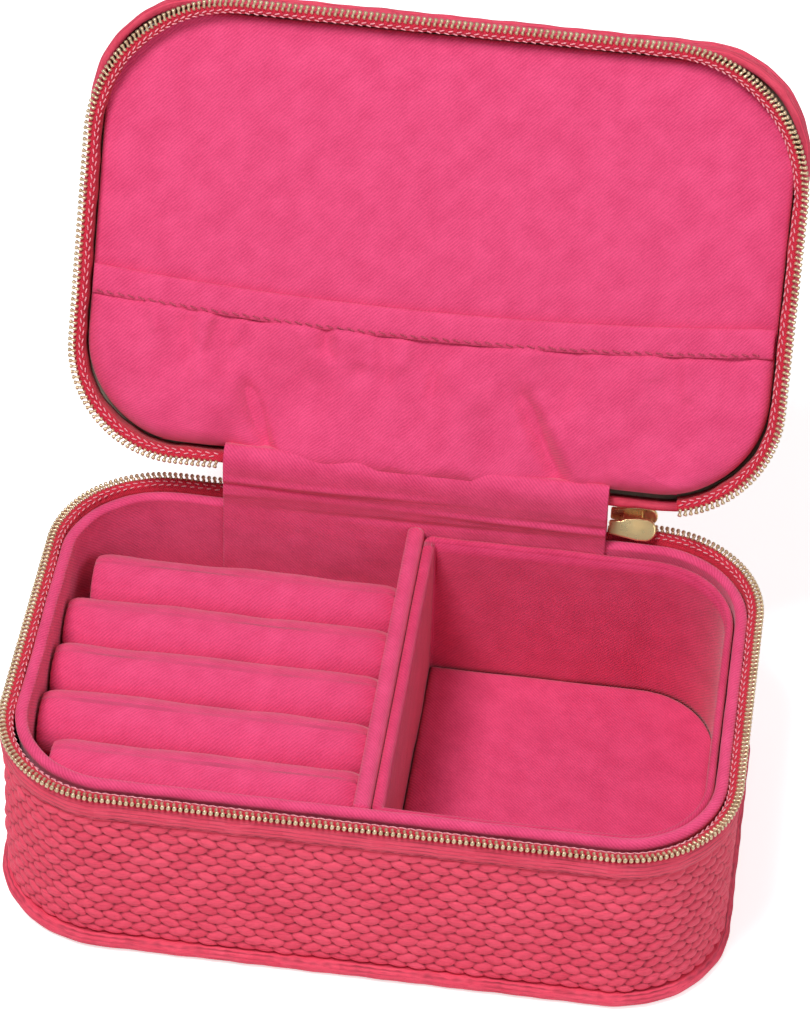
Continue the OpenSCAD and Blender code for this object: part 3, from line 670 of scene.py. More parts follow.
def zip_teeth(name, ring, first, last, z, side, body, node, shape=identity):
    """The row of coil teeth. Each tooth lies across the tape's edge."""
    pitch = 1.28
    s = np.arange(first + pitch / 2, last - pitch / 2, pitch)
    p, n = ring.at(s)
    along = np.stack([n[:, 1], -n[:, 0], np.zeros(len(s))], -1)
    outward = np.concatenate([n, np.zeros((len(s), 1))], -1)
    lean = along + outward * 0.0
    places = np.concatenate([p, np.full((len(s), 1), z)], 1)
    axes = np.stack([lean, outward, np.tile([0.0, 0.0, 1.0], (len(s), 1))], 1)
    return scattered(name, tooth_shape(side), places, axes, TOOTH, body, TEETH, (node,), shape)


BASE_FIRST, BASE_LAST = HINGE_HALF, ZIP.length - HINGE_HALF
zip_tape("base_tape", ZIP, BASE_FIRST, BASE_LAST, HEM_FOOT + 0.1, ZIP_H - COIL_H + TAPE_T, "base", "base_zip_tape")
zip_teeth("base_teeth", ZIP, BASE_FIRST, BASE_LAST, ZIP_H - COIL_H, 1.0, "base", "base_zip_coil")
zip_tape("lid_tape", LID_ZIP, LID_START, BASE_LAST, ZIP_RISE + HEM_H - 0.1, COIL_H - TAPE_T, "lid", "lid_zip_tape",
         opened, 1.3)
zip_teeth("lid_teeth", LID_ZIP, LID_START, BASE_LAST, COIL_H, -1.0, "lid", "lid_zip_coil", opened)
for half, ring, first, shape, face in (("base", ZIP, BASE_FIRST, identity, ZIP_H - COIL_H + TAPE_T + 0.06),
                                       ("lid", LID_ZIP, LID_START, opened, COIL_H - TAPE_T - 0.06)):
    for row, out in enumerate((-2.75, -3.35)):
        along = np.arange(first + 1 + row * 0.9, BASE_LAST - 1, 1.9)
        level = face if row == 0 else face + (-0.55 if half == "base" else 0.55)
        dashes(f"{half}_tape_stitches_{row + 1}", ring, along, np.full(len(along), out), level, 1.15, PALE_THREAD,
               half, TAPE, shape, 0.25 if row else -0.25, 0.15)


# ---------- inside of the base ----------

def rim_profile(inner_foot):
    """Lined wall that rolls over a soft rim and tucks in behind it."""
    wall = np.stack([np.zeros(14), np.linspace(inner_foot, RIM_TOP - RIM_T / 2, 14)], -1)
    a = np.linspace(math.pi, -0.15 * math.pi, 13)
    r = RIM_T / 2
    roll = np.stack([r + (r + 0.12) * np.cos(a) - 0.0, RIM_TOP - r + r * np.sin(a)], -1)
    return np.concatenate([wall, roll[1:], [[2.0, RIM_TOP - RIM_T - 0.6], [2.0, inner_foot]]])


def lined_hoop():
    s = np.linspace(0, HOOP.length, int(700 * FINE), endpoint=False)
    profile = rim_profile(INNER_FLOOR)
    grid = np.repeat(profile[None], len(s), 0).copy()
    u, v = np.meshgrid(s, np.arange(len(profile)) * 1.5, indexing="ij")
    loop = 2 * math.pi * s / HOOP.length
    sway = 0.22 * np.sin(loop * 9 + 1) + 0.15 * np.sin(loop * 17 + 2) + 0.08 * np.sin(loop * 41)
    front = np.ones(len(profile))
    front[-2:] = 0
    grid[..., 0] -= np.clip(0.12 * sway + 0.04 * waves(u, v, 5, (9,), (1,)), -0.2, 0.25)[...] * front if False else 0
    grid[..., 0] += (0.10 * sway[:, None] + 0.05 * waves(u, v, 5, (12,), (1,))) * front
    grid[:, 14:26, 1] += 0.12 * sway[:, None]
    obj = surface("base_lined_hoop", HOOP.sweep(s, grid), LINING, wrap_u=True, wrap_v=True)
    return placed(face_out(obj), "base", TWILL, "base_liner_hoop")


lined_hoop()


def upright_panel(name, x0, x1, y0, y1, foot, top, body, node, material, seed):
    """An upright padded panel that runs front to back, with a rounded top."""
    n = int(180 * FINE)
    half = (x1 - x0) / 2
    a = np.linspace(math.pi, 0, 13)
    left = np.stack([np.full(12, -half), np.linspace(foot, top - half, 12)], -1)
    over = np.stack([half * np.cos(a), top - half + half * np.sin(a)], -1)
    right = np.stack([np.full(12, half), np.linspace(top - half, foot, 12)], -1)
    profile = np.concatenate([left, over[1:-1], right])
    y = np.linspace(y0, y1, n)
    u, v = np.meshgrid(y, np.arange(len(profile)) * 2.0, indexing="ij")
    puff = waves(u, v, seed, (40, 14), (0.16, 0.08))
    grid = np.zeros((n, len(profile), 3))
    grid[..., 0] = (x0 + x1) / 2 + profile[None, :, 0] * (1 + 0.05 * puff)
    grid[..., 1] = y[:, None]
    grid[..., 2] = profile[None, :, 1] + 0.35 * puff * (profile[None, :, 1] > top - half)
    obj = surface(name, grid, material, wrap_v=True, caps=True)
    return placed(face_out(obj), body, TWILL, node)


upright_panel("divider", DIVIDER_X, DIVIDER_X + DIVIDER_T, INNER_FRONT_Y, INNER_BACK_Y, INNER_FLOOR, RIM_TOP + 0.25,
              "base", "divider_panel", LINING, 11)


INSERT_X, INSERT_DROP = 2.7, 1.4
INSERT_TOP = RIM_TOP - INSERT_DROP


class Compartment(Ring):
    """The compartment's outline: small corners at the divider and the hoop's corners at the box's side."""

    def __init__(self, inset, side_inset):
        self.x0, self.x1 = INSERT_X + side_inset, HOOP_X - 0.3 - inset
        self.y0, self.y1 = INNER_FRONT_Y + inset, INNER_BACK_Y - inset
        self.small, self.big = max(2.5 - inset, 0.5), HOOP_R - 0.3 - inset
        self.steps = []

    def points(self, n_corner=20, step=1.2):
        """Corner by corner, clockwise from the back left."""
        rounds = [(self.x0 + self.small, self.y1 - self.small, self.small, 180.0),
                  (self.x1 - self.big, self.y1 - self.big, self.big, 90.0),
                  (self.x1 - self.big, self.y0 + self.big, self.big, 0.0),
                  (self.x0 + self.small, self.y0 + self.small, self.small, -90.0)]
        p, n = [], []
        for k, (cx, cy, r, first) in enumerate(rounds):
            a = np.radians(np.linspace(first, first - 90, n_corner))
            normal = np.stack([np.cos(a), np.sin(a)], -1)
            corner = np.array([cx, cy]) + r * normal
            if k:
                gap = np.linalg.norm(corner[0] - p[-1][-1])
                t = np.linspace(0, 1, max(2, int(gap / step)))[1:-1, None]
                p.append(p[-1][-1] * (1 - t) + corner[0] * t)
                n.append(np.repeat(normal[:1], len(t), 0))
            p.append(corner)
            n.append(normal)
        gap = np.linalg.norm(p[0][0] - p[-1][-1])
        t = np.linspace(0, 1, max(2, int(gap / step)))[1:-1, None]
        p.append(p[-1][-1] * (1 - t) + p[0][0] * t)
        n.append(np.repeat(n[-1][-1:], len(t), 0))
        return np.concatenate(p), np.concatenate(n)


def insert_tray():
    """Lined insert: walls with a soft rolled rim all round the compartment."""
    inner, normal = Compartment(1.8, 2.5).points()
    outer, _ = Compartment(0.0, 0.0).points()
    n = len(inner)
    a = np.linspace(0, math.pi, 13)
    wall = np.linspace(INNER_FLOOR, INSERT_TOP - 1.0, 16)
    rows = []
    loop = np.arange(n)
    sway = 0.14 * np.sin(loop * 0.19) + 0.08 * np.sin(loop * 0.47 + 1)
    for z in wall:
        rows.append(np.concatenate([inner, np.full((n, 1), z)], 1))
    for k in a:
        mix = 0.5 - 0.5 * math.cos(k)
        flat = inner * (1 - mix) + outer * mix
        rows.append(np.concatenate([flat, (INSERT_TOP - 1.0 + 1.0 * math.sin(k) + sway * math.sin(k))[:, None]], 1))
    rows.append(np.concatenate([outer, np.full((n, 1), INNER_FLOOR)], 1))
    grid = np.stack(rows, 1)
    puff = waves(loop[:, None] * 1.2, np.arange(grid.shape[1])[None] * 2.3, 21, (26, 9), (0.16, 0.06))
    puff = np.clip(puff, -0.3, 0.0)
    puff[:, 15:] = 0
    grid[..., :2] += normal[:, None, :] * puff[..., None]
    # Painted shade: the compartment walls take the darker copy of the lining.
    obj = surface("compartment_lining", grid, LINING_SHADED, wrap_u=True, wrap_v=True)
    return placed(face_out(obj), "base", TWILL, "compartment_insert")


def floor_pad():
    """Thin padded floor with edges that roll down against the walls."""
    area = Compartment(1.9, 2.6)
    nx, ny = int(150 * FINE), int(170 * FINE)
    t = np.linspace(0, 1, nx)
    t = 0.5 - 0.5 * np.cos(math.pi * (0.04 + 0.92 * t)) if False else t
    x = area.x0 + (area.x1 - area.x0) * t
    past = np.clip(x - (area.x1 - area.big), 0, area.big)
    far = (area.y1 - area.y0) / 2 - area.big + np.sqrt(np.maximum(area.big ** 2 - past ** 2, 0))
    far = np.where(past > 0, far, (area.y1 - area.y0) / 2)
    q = np.sin(np.linspace(-1, 1, ny) * math.pi / 2) * 0.5 + np.linspace(-1, 1, ny) * 0.5
    gx, gy = np.repeat(x[:, None], ny, 1), (area.y0 + area.y1) / 2 + far[:, None] * q[None]
    edge = np.minimum(np.minimum(gx - area.x0, area.x1 - gx + 0.4), (1 - np.abs(q))[None] * far[:, None])
    rise = np.sqrt(np.maximum(1 - (1 - np.clip(edge / 2.4, 0, 1)) ** 2, 0))
    top = INNER_FLOOR + 0.5 + 1.7 * rise + 0.14 * waves(gx, gy, 31, (45, 18), (1.0, 0.5)) * rise
    obj = slab("compartment_floor", gx, gy, top, INNER_FLOOR, LINING)
    placed(obj, "base", TWILL, "compartment_floor_pad")
    return obj


insert_tray()
floor_pad()


def tray_board():
    """Lined tray under the ring rolls."""
    left, right = -HOOP_X + 0.3, DIVIDER_X - 0.1
    n, m = int(60 * FINE), int(80 * FINE)
    t = np.linspace(0, 1, n)
    x = left + (right - left) * t ** 1.6
    r = HOOP_R - 0.3
    past = np.clip(left + r - x, 0, r)
    half = (INNER_BACK_Y - INNER_FRONT_Y) / 2
    mid = (INNER_BACK_Y + INNER_FRONT_Y) / 2
    reach = np.minimum(half, HOOP_Y - 0.3 - r + np.sqrt(np.maximum(r * r - past * past, 0)) + 0.0)
    gx = np.repeat(x[:, None], m, 1)
    gy = mid + reach[:, None] * np.linspace(-1, 1, m)[None]
    top = 23.3 + 0.04 * waves(gx, gy, 41, (14,), (1,))
    # Painted shade: the tray under the rolls takes the darker copy of the lining.
    obj = slab("ring_tray", gx, gy, top, 21.8, LINING_SHADED)
    return placed(obj, "base", TWILL, "ring_tray_board")


tray_board()


def ring_roll(i):
    """One padded roll: round above, flat below, drawn in a little at its ends, with soft dents."""
    y0 = ROLL_FIRST_Y - ROLL_PITCH * i
    lo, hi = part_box(f"ring_roll_{i + 1}")
    left, right = lo.x / MM, hi.x / MM
    n, m = int(150 * FINE), int(56 * FINE)
    t = np.linspace(-1, 1, n)
    x = (left + right) / 2 + (right - left) / 2 * (0.4 * t + 0.6 * np.sin(t * math.pi / 2))
    from_end = np.minimum(x - left, right - x)
    k = np.clip(from_end / 4.2, 0, 1)
    radius = ROLL_R * (0.80 + 0.20 * np.sqrt(np.maximum(1 - (1 - k) ** 2, 0)))
    a = np.linspace(0, 2 * math.pi, m, endpoint=False) + math.pi / 2
    u, v = np.meshgrid(x, a * ROLL_R, indexing="ij")
    dent = waves(u, v, 50 + i, (34, 13), (0.17, 0.07))
    pull = 0.16 * np.sin(a * 16 + i)[None] * np.exp(-from_end / 2.2)[:, None]
    r = radius[:, None] + dent + pull
    dy, dz = r * np.cos(a)[None], r * np.sin(a)[None]
    floor = -ROLL_FLAT
    dz = np.where(dz < floor + 0.6, floor + 0.6 * np.exp(-(floor + 0.6 - dz) / 1.2), dz)
    cap = ROLL_R + 0.12
    grid = np.stack([u, y0 + np.clip(dy, -cap, cap), ROLL_Z + dz], -1)
    cloth = np.stack([u, v, np.zeros_like(u)], -1)
    ends = [np.repeat(np.array([[[x[k], y0, ROLL_Z]]]), m, 1) for k in (0, -1)]
    soft = [grid[k:k + 1] * 0.45 + e * 0.55 for k, e in ((0, ends[0]), (n - 1, ends[1]))]
    grid = np.concatenate([ends[0], soft[0], grid, soft[1], ends[1]])
    cloth = np.concatenate([cloth[:1], cloth[:1], cloth, cloth[-1:], cloth[-1:]])
    obj = face_out(surface(f"ring_roll_{i + 1}_cushion", grid, LINING, wrap_v=True, cloth=cloth))
    bm = bmesh.new()
    bm.from_mesh(obj.data)
    bmesh.ops.remove_doubles(bm, verts=bm.verts, dist=1e-6)
    bm.to_mesh(obj.data)
    bm.free()
    placed(obj, "base", TWILL, f"ring_roll_{i + 1}")
    return obj


for i in range(5):
    ring_roll(i)


# ---------- hinge fabrics ----------

def smooth_line(points, n):
    """A smooth line through points, evenly spaced."""
    p = np.array(points, float)
    for _ in range(4):
        q = np.empty((2 * len(p) - 2 + 2, 2))
        q[0], q[-1] = p[0], p[-1]
        q[1:-1:2] = 0.75 * p[:-1] + 0.25 * p[1:]
        q[2:-1:2] = 0.25 * p[:-1] + 0.75 * p[1:]
        p = q
    d = np.concatenate([[0], np.cumsum(np.linalg.norm(np.diff(p, axis=0), axis=1))])
    s = np.linspace(0, d[-1], n)
    return np.stack([np.interp(s, d, p[:, 0]), np.interp(s, d, p[:, 1])], -1), s


def lid_point(y, h):
    q = opened(np.array([0.0, y, h]))
    return (q[1], q[2])


def strip(name, points, half_w, thick, material, seed, creases, taper=0.0):
    """A wide strip of cloth over a line in the plane of Y and Z, with creases across it."""
    n, m = int(220 * FINE), int(110 * FINE)
    line, s = smooth_line(points, m)
    step = np.gradient(line, axis=0)
    normal = np.stack([-step[:, 1], step[:, 0]], -1) / np.linalg.norm(step, axis=1)[:, None]
    x = np.linspace(-half_w, half_w, n)
    u, v = np.meshgrid(x, s, indexing="ij")
    lift = np.zeros_like(u)
    for at, height, width, bow in creases:
        run = v - at - bow * np.cos(u / half_w * 1.4 + at)
        lift += height * np.exp(-(run / width) ** 2) * (0.55 + 0.45 * np.sin(u * 0.07 + at * 2))
    lift += 0.05 * waves(u, v * 2.5, seed, (40, 15), (1.0, 0.8))
    grids = []
    for side in (0.5, -0.5):
        shift = normal[None] * (lift + side * thick)[..., None]
        grids.append(np.stack([u, line[None, :, 0] + shift[..., 0], line[None, :, 1] + shift[..., 1]], -1))
    points3 = np.concatenate([g.reshape(-1, 3) for g in grids])
    faces = grid_faces(n, m, False, False) + [f[::-1] for f in grid_faces(n, m, False, False, n * m)]
    rim = [k for k in range(m)] + [i * m + m - 1 for i in range(1, n)]
    rim += [(n - 1) * m + k for k in range(m - 2, -1, -1)] + [i * m for i in range(n - 2, 0, -1)]
    faces += [[a, b, b + n * m, a + n * m] for a, b in zip(rim, rim[1:] + rim[:1])]
    cloth = np.stack([u, v, np.zeros_like(u)], -1).reshape(-1, 3)
    # deep carries painted shade for the gaps between stitches, a little weaker on this strip.
    relief, tone, deep = stitch_relief(u + 200, v)
    extra = [(k, np.concatenate([w.ravel()] * 2)) for k, w in (("tone", tone), ("deep", deep * 0.8))]
    obj = make(name, points3, faces, material, attributes=[("cloth", np.concatenate([cloth, cloth]))] + extra)
    return face_out(obj), s[-1]


EDGE = lid_point(50.7, -0.2)
lining_line = [(44.05, 24.0), (44.05, 34.0), (44.05, 43.0), (44.1, 45.2), ((44.1 + EDGE[0]) / 2, 50.2), EDGE,
               lid_point(46.95, 0.45), lid_point(46.8, 2.2), lid_point(46.8, 3.8)]
hinge_lining, lining_l = strip("hinge_lining_strip", lining_line, HINGE_HALF, 0.5, LINING, 61,
                               [(22.6, -0.35, 0.9, 1.1), (25.0, 0.42, 0.8, 0.7), (27.4, -0.4, 0.8, 0.9),
                                (29.8, 0.45, 0.9, 0.5)])
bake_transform(hinge_lining)
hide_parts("hinge_lining")

cover_y = 52.5 - TAPE_IN - 0.35
cover_line = [(cover_y, 38.6), (cover_y, 41.0), (cover_y, HEM_TOP), lid_point(51.2, 2.25), lid_point(cover_y, 2.25),
              lid_point(cover_y, 5.0), lid_point(cover_y, 7.4)]
hinge_cover, cover_l = strip("hinge_cover_strip", cover_line, HINGE_HALF, 0.5, STRAW, 62, [(8.0, 0.2, 1.0, 0.4)])
COVER_END = lid_point(51.2, 2.25)
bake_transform(hinge_cover)
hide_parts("hinge_cover")


# ---------- inside of the lid ----------

def lined_panel():
    """Stiff panel under twill: soft rounded edges and barely uneven face."""
    wide, deep, r = PANEL_X + 0.3, PANEL_Y + 1.7, PANEL_R + 1.2
    x, y = plate_grid(wide, deep, r, int(260 * FINE), int(190 * FINE))
    d = edge_distance(x, y, wide, deep, r)
    k = np.clip(d / 1.3, 0, 1)
    drop = 1.1 * (1 - np.sqrt(np.maximum(1 - (1 - k) ** 2, 0)))
    face = LINING_FACE + drop + 0.07 * waves(x, y, 71, (70, 30), (1, 0.6)) * k
    obj = slab("lid_lined_panel", x, y, face, LINING_FACE + LINING_T, LINING, shape=opened)
    return placed(obj, "lid", TWILL, "lid_lining_panel")


lined_panel()


def sag(x):
    """How far the pocket's mouth hangs towards the hinge, across the lid."""
    t = np.clip(np.abs(x + 4) / 76, 0, 1)
    return 3.4 * (1 - t ** 2.2) - 0.6 * np.clip(x / 76, 0, 1)


def ridge(x, y, x0, y0, x1, y1, height, width, fade=0.35):
    """A fold along a line, fading at its ends."""
    dx, dy = x1 - x0, y1 - y0
    length = math.hypot(dx, dy)
    t = ((x - x0) * dx + (y - y0) * dy) / length ** 2
    off = ((x - x0) * dy - (y - y0) * dx) / length
    ends = np.clip(np.minimum(t, 1 - t) / fade + 0.35, 0, 1) * (t > -0.35) * (t < 1.35)
    return height * np.exp(-(off / width) ** 2) * ends ** 2 * (3 - 2 * ends)


def pocket_height(x, y, t):
    """How far the pocket stands out from the lined panel. t runs from 0 at its hem to 1 at its foot."""
    base = 1.9 + 2.7 * t ** 1.3 - 0.7 * np.exp(-(t * 34 / 1.1) ** 2)
    rng = np.random.default_rng(81)
    out = base + (0.6 + 0.6 * t) * waves(x, y * 0.8, 82, (40, 17), (1.3, 0.75))
    for _ in range(34):
        x0 = rng.uniform(-68, 68)
        lean, length = rng.uniform(-0.35, 0.35), rng.uniform(6, 17)
        top = POCKET_HEM_Y + sag(np.array([x0]))[0] - 0.6
        out += ridge(x, y, x0, top, x0 + lean * length, top + length, rng.uniform(-1.2, 0.9), rng.uniform(1.2, 2.8))
    out += ridge(x, y, 20, 27, 33, 49, -2.4, 2.0, 0.5) + ridge(x, y, 24.5, 26, 38, 48, 1.4, 2.6, 0.5)
    out += ridge(x, y, -40, 33, -32, 50, -2.2, 1.5, 0.4) + ridge(x, y, -44, 34, -37, 49, 1.2, 2.6, 0.4)
    out += ridge(x, y, -14, 27, 2, 40, -0.6, 3.0) + ridge(x, y, 44, 22, 58, 36, 0.6, 3.4)
    out += ridge(x, y, -62, 22, -48, 33, 0.6, 3.0) + ridge(x, y, 2, 24, 14, 33, 0.6, 2.6)
    return out


def pocket():
    """The gathered pocket: slack cloth from the stitched hem to a full, drooping foot."""
    n, m = int(420 * FINE), int(170 * FINE)
    t = np.linspace(0, 1, m)
    q = np.linspace(-1, 1, n)
    q = 0.45 * q + 0.55 * np.sin(q * math.pi / 2)
    foot_y, wide, r = PANEL_Y + 1.6, PANEL_X + 0.2, PANEL_R + 1.2
    y0 = POCKET_HEM_Y - 0.4
    yy = y0 + (foot_y - y0) * t
    past = np.clip(yy - (foot_y - r), 0, r - 0.5)
    reach = wide - r + np.sqrt(np.maximum(r ** 2 - past ** 2, 0))
    x = q[:, None] * reach[None]
    y = np.repeat(yy[None], n, 0) + sag(x) * (1 - t)[None] ** 1.2
    d = edge_distance(x, np.minimum(y, foot_y), wide, foot_y + 0.02, r)
    middle = np.clip((42 - np.abs(x)) / 8, 0, 1)
    y = y + 3.0 * middle * t[None] ** 3
    k = np.clip(d / 4.4, 0, 1)
    full = np.sqrt(np.maximum(1 - (1 - k) ** 2, 0))
    out = np.clip(pocket_height(x, y, np.repeat(t[None], n, 0)) + 1.4 * middle * t[None] ** 2, 0.6, 6.4)
    height = LINING_FACE + 0.5 - (out + 0.5) * full
    grid = np.stack([x, y, height], -1)
    step_v = np.linalg.norm(np.diff(grid, axis=1), axis=-1)
    v = np.concatenate([np.zeros((n, 1)), np.cumsum(step_v, 1)], 1)
    cloth = np.stack([x * 1.03, v, np.zeros_like(x)], -1)
    obj = surface("pocket_cloth", opened(grid), LINING, cloth=cloth)
    placed(obj, "lid", TWILL, "pocket_panel")
    return obj


def hem_ripple(x):
    """How the gathers lift and dip the hem along its lower edge."""
    return 0.22 * np.sin(x * 0.55) + 0.18 * np.sin(x * 0.9 + 1) + 0.12 * np.sin(x * 1.7)


def pocket_elastic():
    """Woven elastic inside the hem, which follows its sag."""
    x = np.linspace(-PANEL_X + 0.6, PANEL_X - 0.6, 120)
    mid_y = (POCKET_MOUTH_Y + POCKET_HEM_Y) / 2 + sag(x)
    section = np.array([(-2.0, -0.15), (-1.8, -0.25), (1.8, -0.25), (2.0, -0.15), (2.0, 0.15), (-2.0, 0.15)])
    grid = np.zeros((len(x), len(section), 3))
    grid[..., 0] = x[:, None]
    grid[..., 1] = mid_y[:, None] + section[None, :, 0]
    grid[..., 2] = LINING_FACE - 1.3 + section[None, :, 1]
    obj = surface("pocket_elastic_band", opened(grid), ELASTIC, wrap_v=True, caps=True)
    return placed(face_out(obj), "lid", "elastic", "pocket_elastic")


def pocket_hem():
    """The folded hem round its elastic, with a stitch line along its lower edge."""
    n = int(320 * FINE)
    x = np.linspace(-PANEL_X + 0.2, PANEL_X - 0.2, n)
    a = np.linspace(0, 2 * math.pi, 28, endpoint=False)
    across = (POCKET_HEM_Y - POCKET_MOUTH_Y) / 2 + 0.1
    thin = 0.8
    c, s = np.cos(a), np.sin(a)
    py = across * np.sign(c) * np.abs(c) ** 0.55
    ph = thin * np.sign(s) * np.abs(s) ** 0.75
    mid_y = (POCKET_MOUTH_Y + POCKET_HEM_Y) / 2 + sag(x)
    ends = np.clip((PANEL_X - np.abs(x)) / 3.0, 0, 1) ** 0.5
    ripple = hem_ripple(x)
    u, w = np.meshgrid(x, np.arange(28) * 0.6, indexing="ij")
    grid = np.zeros((n, 28, 3))
    grid[..., 0] = x[:, None]
    grid[..., 1] = mid_y[:, None] + py[None]
    puff = ripple[:, None] * (0.3 + 0.7 * (py[None] > 0))
    grid[..., 2] = LINING_FACE - 0.98 - 0.4 * ends[:, None] + ph[None] * (0.55 + 0.45 * ends[:, None]) + 0.5 * puff
    obj = surface("pocket_hem_fold", opened(grid), LINING, wrap_v=True, caps=True)
    placed(face_out(obj), "lid", TWILL, "pocket_hem")
    sx = np.arange(-PANEL_X + 2, PANEL_X - 2, 2.35)
    sy = POCKET_HEM_Y + sag(sx) - 0.75
    sz = LINING_FACE - 2.24 + 0.5 * hem_ripple(sx)
    slope = np.gradient(sy, sx)
    tilt = np.arctan(slope) + 0.32
    axes = np.stack([np.stack([np.cos(tilt), np.sin(tilt), 0 * tilt], -1),
                     np.stack([-np.sin(tilt), np.cos(tilt), 0 * tilt], -1),
                     np.tile([0.0, 0.0, 1.0], (len(sx), 1))], 1)
    # The darkened pink thread paints the shade of the crease along the hem's stitch line.
    scattered("pocket_hem_stitches", capsule(1.75, 0.21), np.stack([sx, sy, sz], -1), axes, PINK_THREAD_SHADED, "lid", TWILL,
              shape=opened)
    return obj


pocket()
pocket_elastic()
pocket_hem()


# ---------- slider and pull ----------

def bevelled(name, outline, depth, place, turn, bevel, body, node=None, dome=0.0):
    """A plate from an outline in its own plane, with rounded edges, set in place."""
    bm = bmesh.new()
    base = [bm.verts.new((x * MM, -depth / 2 * MM, z * MM)) for x, z in outline]
    face = bm.faces.new(base)
    made = bmesh.ops.extrude_face_region(bm, geom=[face])
    moved = [e for e in made["geom"] if isinstance(e, bmesh.types.BMVert)]
    bmesh.ops.translate(bm, verts=moved, vec=(0, depth * MM, 0))
    bmesh.ops.recalc_face_normals(bm, faces=bm.faces)
    edges = [e for e in bm.edges if e.calc_face_angle(0) > 0.5]
    bmesh.ops.bevel(bm, geom=edges, offset=bevel * MM, segments=4, profile=0.5, affect="EDGES")
    mesh = bpy.data.meshes.new(name)
    bm.to_mesh(mesh)
    bm.free()
    mesh.transform(Matrix.Translation(Vector(place) * MM) @ turn)
    mesh.polygons.foreach_set("use_smooth", [True] * len(mesh.polygons))
    obj = bpy.data.objects.new(name, mesh)
    bpy.context.scene.collection.objects.link(obj)
    obj.data.materials.append(GOLD)
    return placed(obj, body, METAL, *([node] if node else []))


SLIDER_X, SLIDER_L = 43.2, 10.4
MID_X = SLIDER_X + SLIDER_L / 2
a = np.linspace(-math.pi / 2, math.pi / 2, 15)
crown = [(-5.1, -1.7), (-1.6, -2.2), (1.4, -2.6)]
crown += [(2.6 + 2.9 * math.cos(k) ** 0.8 if math.cos(k) > 0 else 2.6, 2.6 * math.sin(k)) for k in a[1:-1]]
crown += [(1.4, 2.6), (-1.2, 2.3), (-2.6, 1.7), (-5.1, 1.5)]
lean = Matrix.Rotation(math.radians(-38), 4, "X")
bevelled("slider_inner_plate", crown, 1.1, (MID_X, 48.5, 47.3), lean, 0.45, "slider", "zip_slider_body")
bevelled("slider_outer_plate", crown, 1.0, (MID_X, 53.2, 47.3), Matrix.Identity(4), 0.4, "slider")
post = [(-2.2, -0.9), (2.2, -0.9), (2.2, 0.9), (-2.2, 0.9)]
bevelled("slider_post", post, 3.8, (MID_X, 51.0, 47.6), Matrix.Identity(4), 0.3, "slider")


def bent_bar():
    """The bar that carries the pull, bent to the slider at both ends."""
    half, r = 3.7, 0.6
    path = [(-half, 53.4), (-half, 54.6), (-half + 0.35, 55.5), (-half + 1.1, 55.8), (0, 55.8),
            (half - 1.1, 55.8), (half - 0.35, 55.5), (half, 54.6), (half, 53.4)]
    line, _ = smooth_line(path, 40)
    step = np.gradient(line, axis=0)
    side = np.stack([-step[:, 1], step[:, 0]], -1) / np.linalg.norm(step, axis=1)[:, None]
    k = np.linspace(0, 2 * math.pi, 14, endpoint=False)
    grid = np.zeros((40, 14, 3))
    grid[..., 0] = MID_X + line[:, None, 0] + r * np.cos(k)[None] * side[:, None, 0]
    grid[..., 1] = line[:, None, 1] + r * np.cos(k)[None] * side[:, None, 1]
    grid[..., 2] = 46.6 + r * np.sin(k)[None]
    obj = surface("slider_bar", grid, GOLD, wrap_v=True, caps=True)
    return placed(face_out(obj), "slider", METAL, "zip_slider_bail")


def pull_tab():
    """Flat pull with an eye round the bar and a rounded end."""
    k = np.linspace(0, 2 * math.pi, 32, endpoint=False)
    x = np.linspace(-2.5, 2.5, 12)
    outer, inner = 1.85, 0.92
    rows = []
    for r in (outer, inner):
        for xx in (x if r == outer else x[::-1]):
            tuck = 0.22 if abs(xx) > 2.4 else 0.0
            rr = r - tuck if r == outer else r + tuck * 0.6
            rows.append(np.stack([np.full(32, xx), rr * np.cos(k), rr * np.sin(k)], -1))
    grid = np.stack(rows, 0) + np.array([MID_X, 55.8, 46.6])
    eye = surface("pull_eye", grid, GOLD, wrap_u=True, wrap_v=True)
    placed(face_out(eye), "pull", METAL)
    a = np.linspace(0, -math.pi, 17)
    outline = [(2.1, -1.1), (2.3, -4.0), (2.5, -9.0)] + [(2.5 * math.cos(t), -18.5 + 2.5 * math.sin(t)) for t in a]
    outline += [(-2.5, -9.0), (-2.3, -4.0), (-2.1, -1.1)]
    tab = bevelled("pull_tab", outline, 1.2, (MID_X, 55.8, 46.6), Matrix.Identity(4), 0.4, "pull", "zip_pull_tab")
    return tab


bent_bar()
pull_tab()

for node, material in (("base_bottom_board", BOARD), ("base_wall_board", BOARD), ("ring_riser_block", FOAM),
                       ("lid_top_padding", FOAM), ("lid_top_board", BOARD), ("lid_wall_board", BOARD),
                       ("lid_spacer_hoop", BOARD)):
    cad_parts[node].data.materials.clear()
    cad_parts[node].data.materials.append(material)


# ---------- stage, light and camera ----------

def add_plane(name, size, z):
    mesh = bpy.data.meshes.new(name)
    mesh.from_pydata([(-size, -size, z), (size, -size, z), (size, size, z), (-size, size, z)], [], [(0, 1, 2, 3)])
    obj = bpy.data.objects.new(name, mesh)
    bpy.context.scene.collection.objects.link(obj)
    return obj


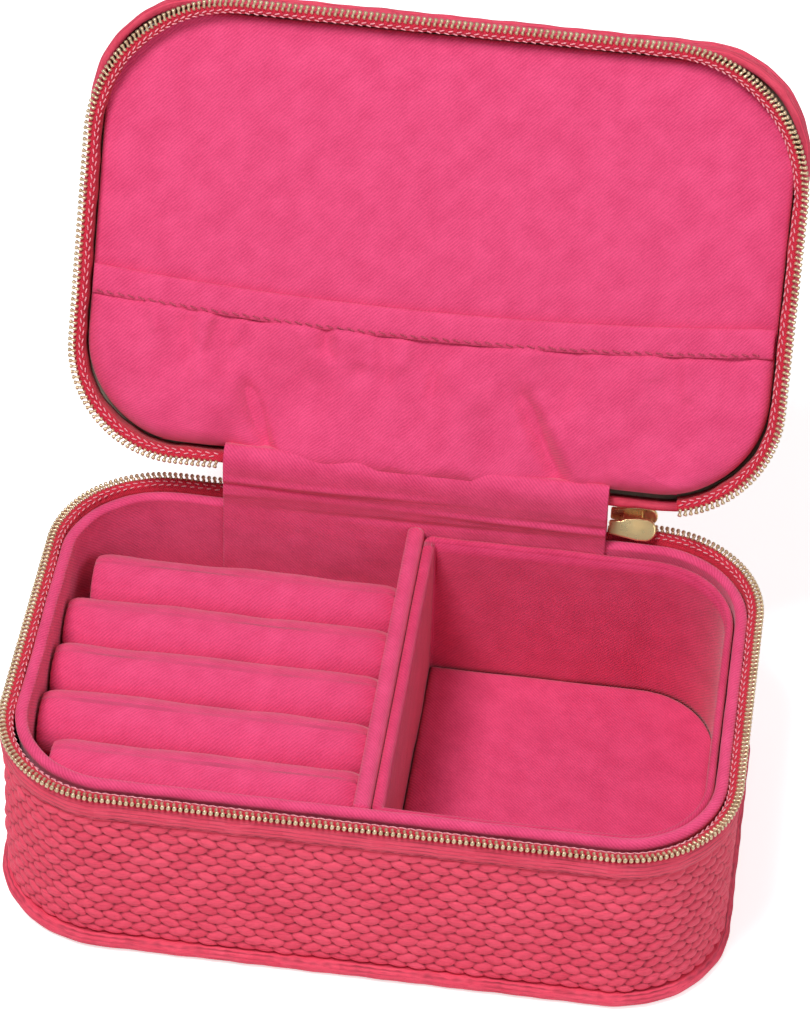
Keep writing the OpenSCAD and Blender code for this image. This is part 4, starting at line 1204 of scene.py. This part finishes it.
floor = add_plane("floor", 4.0, -0.0004)
paper = Graph("white_floor")
grain = paper.noise(paper.node("ShaderNodeTexCoord").outputs["Object"], 60.0, 3.0)
paper.shade(Base_Color=paper.mix(grain, (0.90, 0.90, 0.90, 1), (0.93, 0.93, 0.93, 1)), Roughness=0.9,
            Specular_IOR_Level=0.0)
seen = paper.node("ShaderNodeLightPath").outputs["Is Camera Ray"]
paper.shade(Emission_Color=(1, 1, 1, 1), Emission_Strength=paper.math("MULTIPLY", seen, 0.60))
floor.data.materials.append(paper.material)


def area_light(name, place, aim, size, power):
    data = bpy.data.lights.new(name, "AREA")
    data.shape = "DISK"
    data.size = size
    data.energy = power
    obj = bpy.data.objects.new(name, data)
    obj.location = place
    obj.rotation_mode = "QUATERNION"
    obj.rotation_quaternion = (Vector(aim) - Vector(place)).to_track_quat("-Z", "Y")
    bpy.context.scene.collection.objects.link(obj)
    return obj


area_light("key", (-0.30, -0.42, 1.15), (0, 0.0, 0.04), 0.42, 11.2)
area_light("fill", (0.9, -0.6, 0.7), (0, 0.0, 0.05), 0.9, 3.4)
area_light("rim", (0.3, 0.9, 0.8), (0, 0.05, 0.06), 0.8, 1.8)

world = bpy.data.worlds.new("studio")
bpy.context.scene.world = world
world.use_nodes = True
tree = world.node_tree
sky = tree.nodes["Background"]
sky.inputs["Color"].default_value = (1, 1, 1, 1)
path = tree.nodes.new("ShaderNodeLightPath")
strength = tree.nodes.new("ShaderNodeMix")
strength.data_type = "FLOAT"
strength.inputs[2].default_value = 0.25
strength.inputs[3].default_value = 1.05
tree.links.new(path.outputs["Is Camera Ray"], strength.inputs[0])
tree.links.new(strength.outputs[0], sky.inputs["Strength"])

scene = bpy.context.scene
scene.view_settings.view_transform = "Standard"

lens = bpy.data.cameras.new("camera")
lens.sensor_width = 36.0
lens.lens = 162.97
lens.clip_start, lens.clip_end = 0.05, 20.0
camera = bpy.data.objects.new("camera", lens)
right = Vector((0.99071762, 0.13315476, 0.0273572))
up = Vector((-0.10920998, 0.65981543, 0.74344924))
back = Vector((0.0809431, -0.73953594, 0.6682326))
camera.matrix_world = Matrix.Translation(Vector((0.081643, -0.720363, 0.739496))) @ Matrix(
    (right, up, back)).transposed().to_4x4()
bpy.context.scene.collection.objects.link(camera)
scene.camera = camera
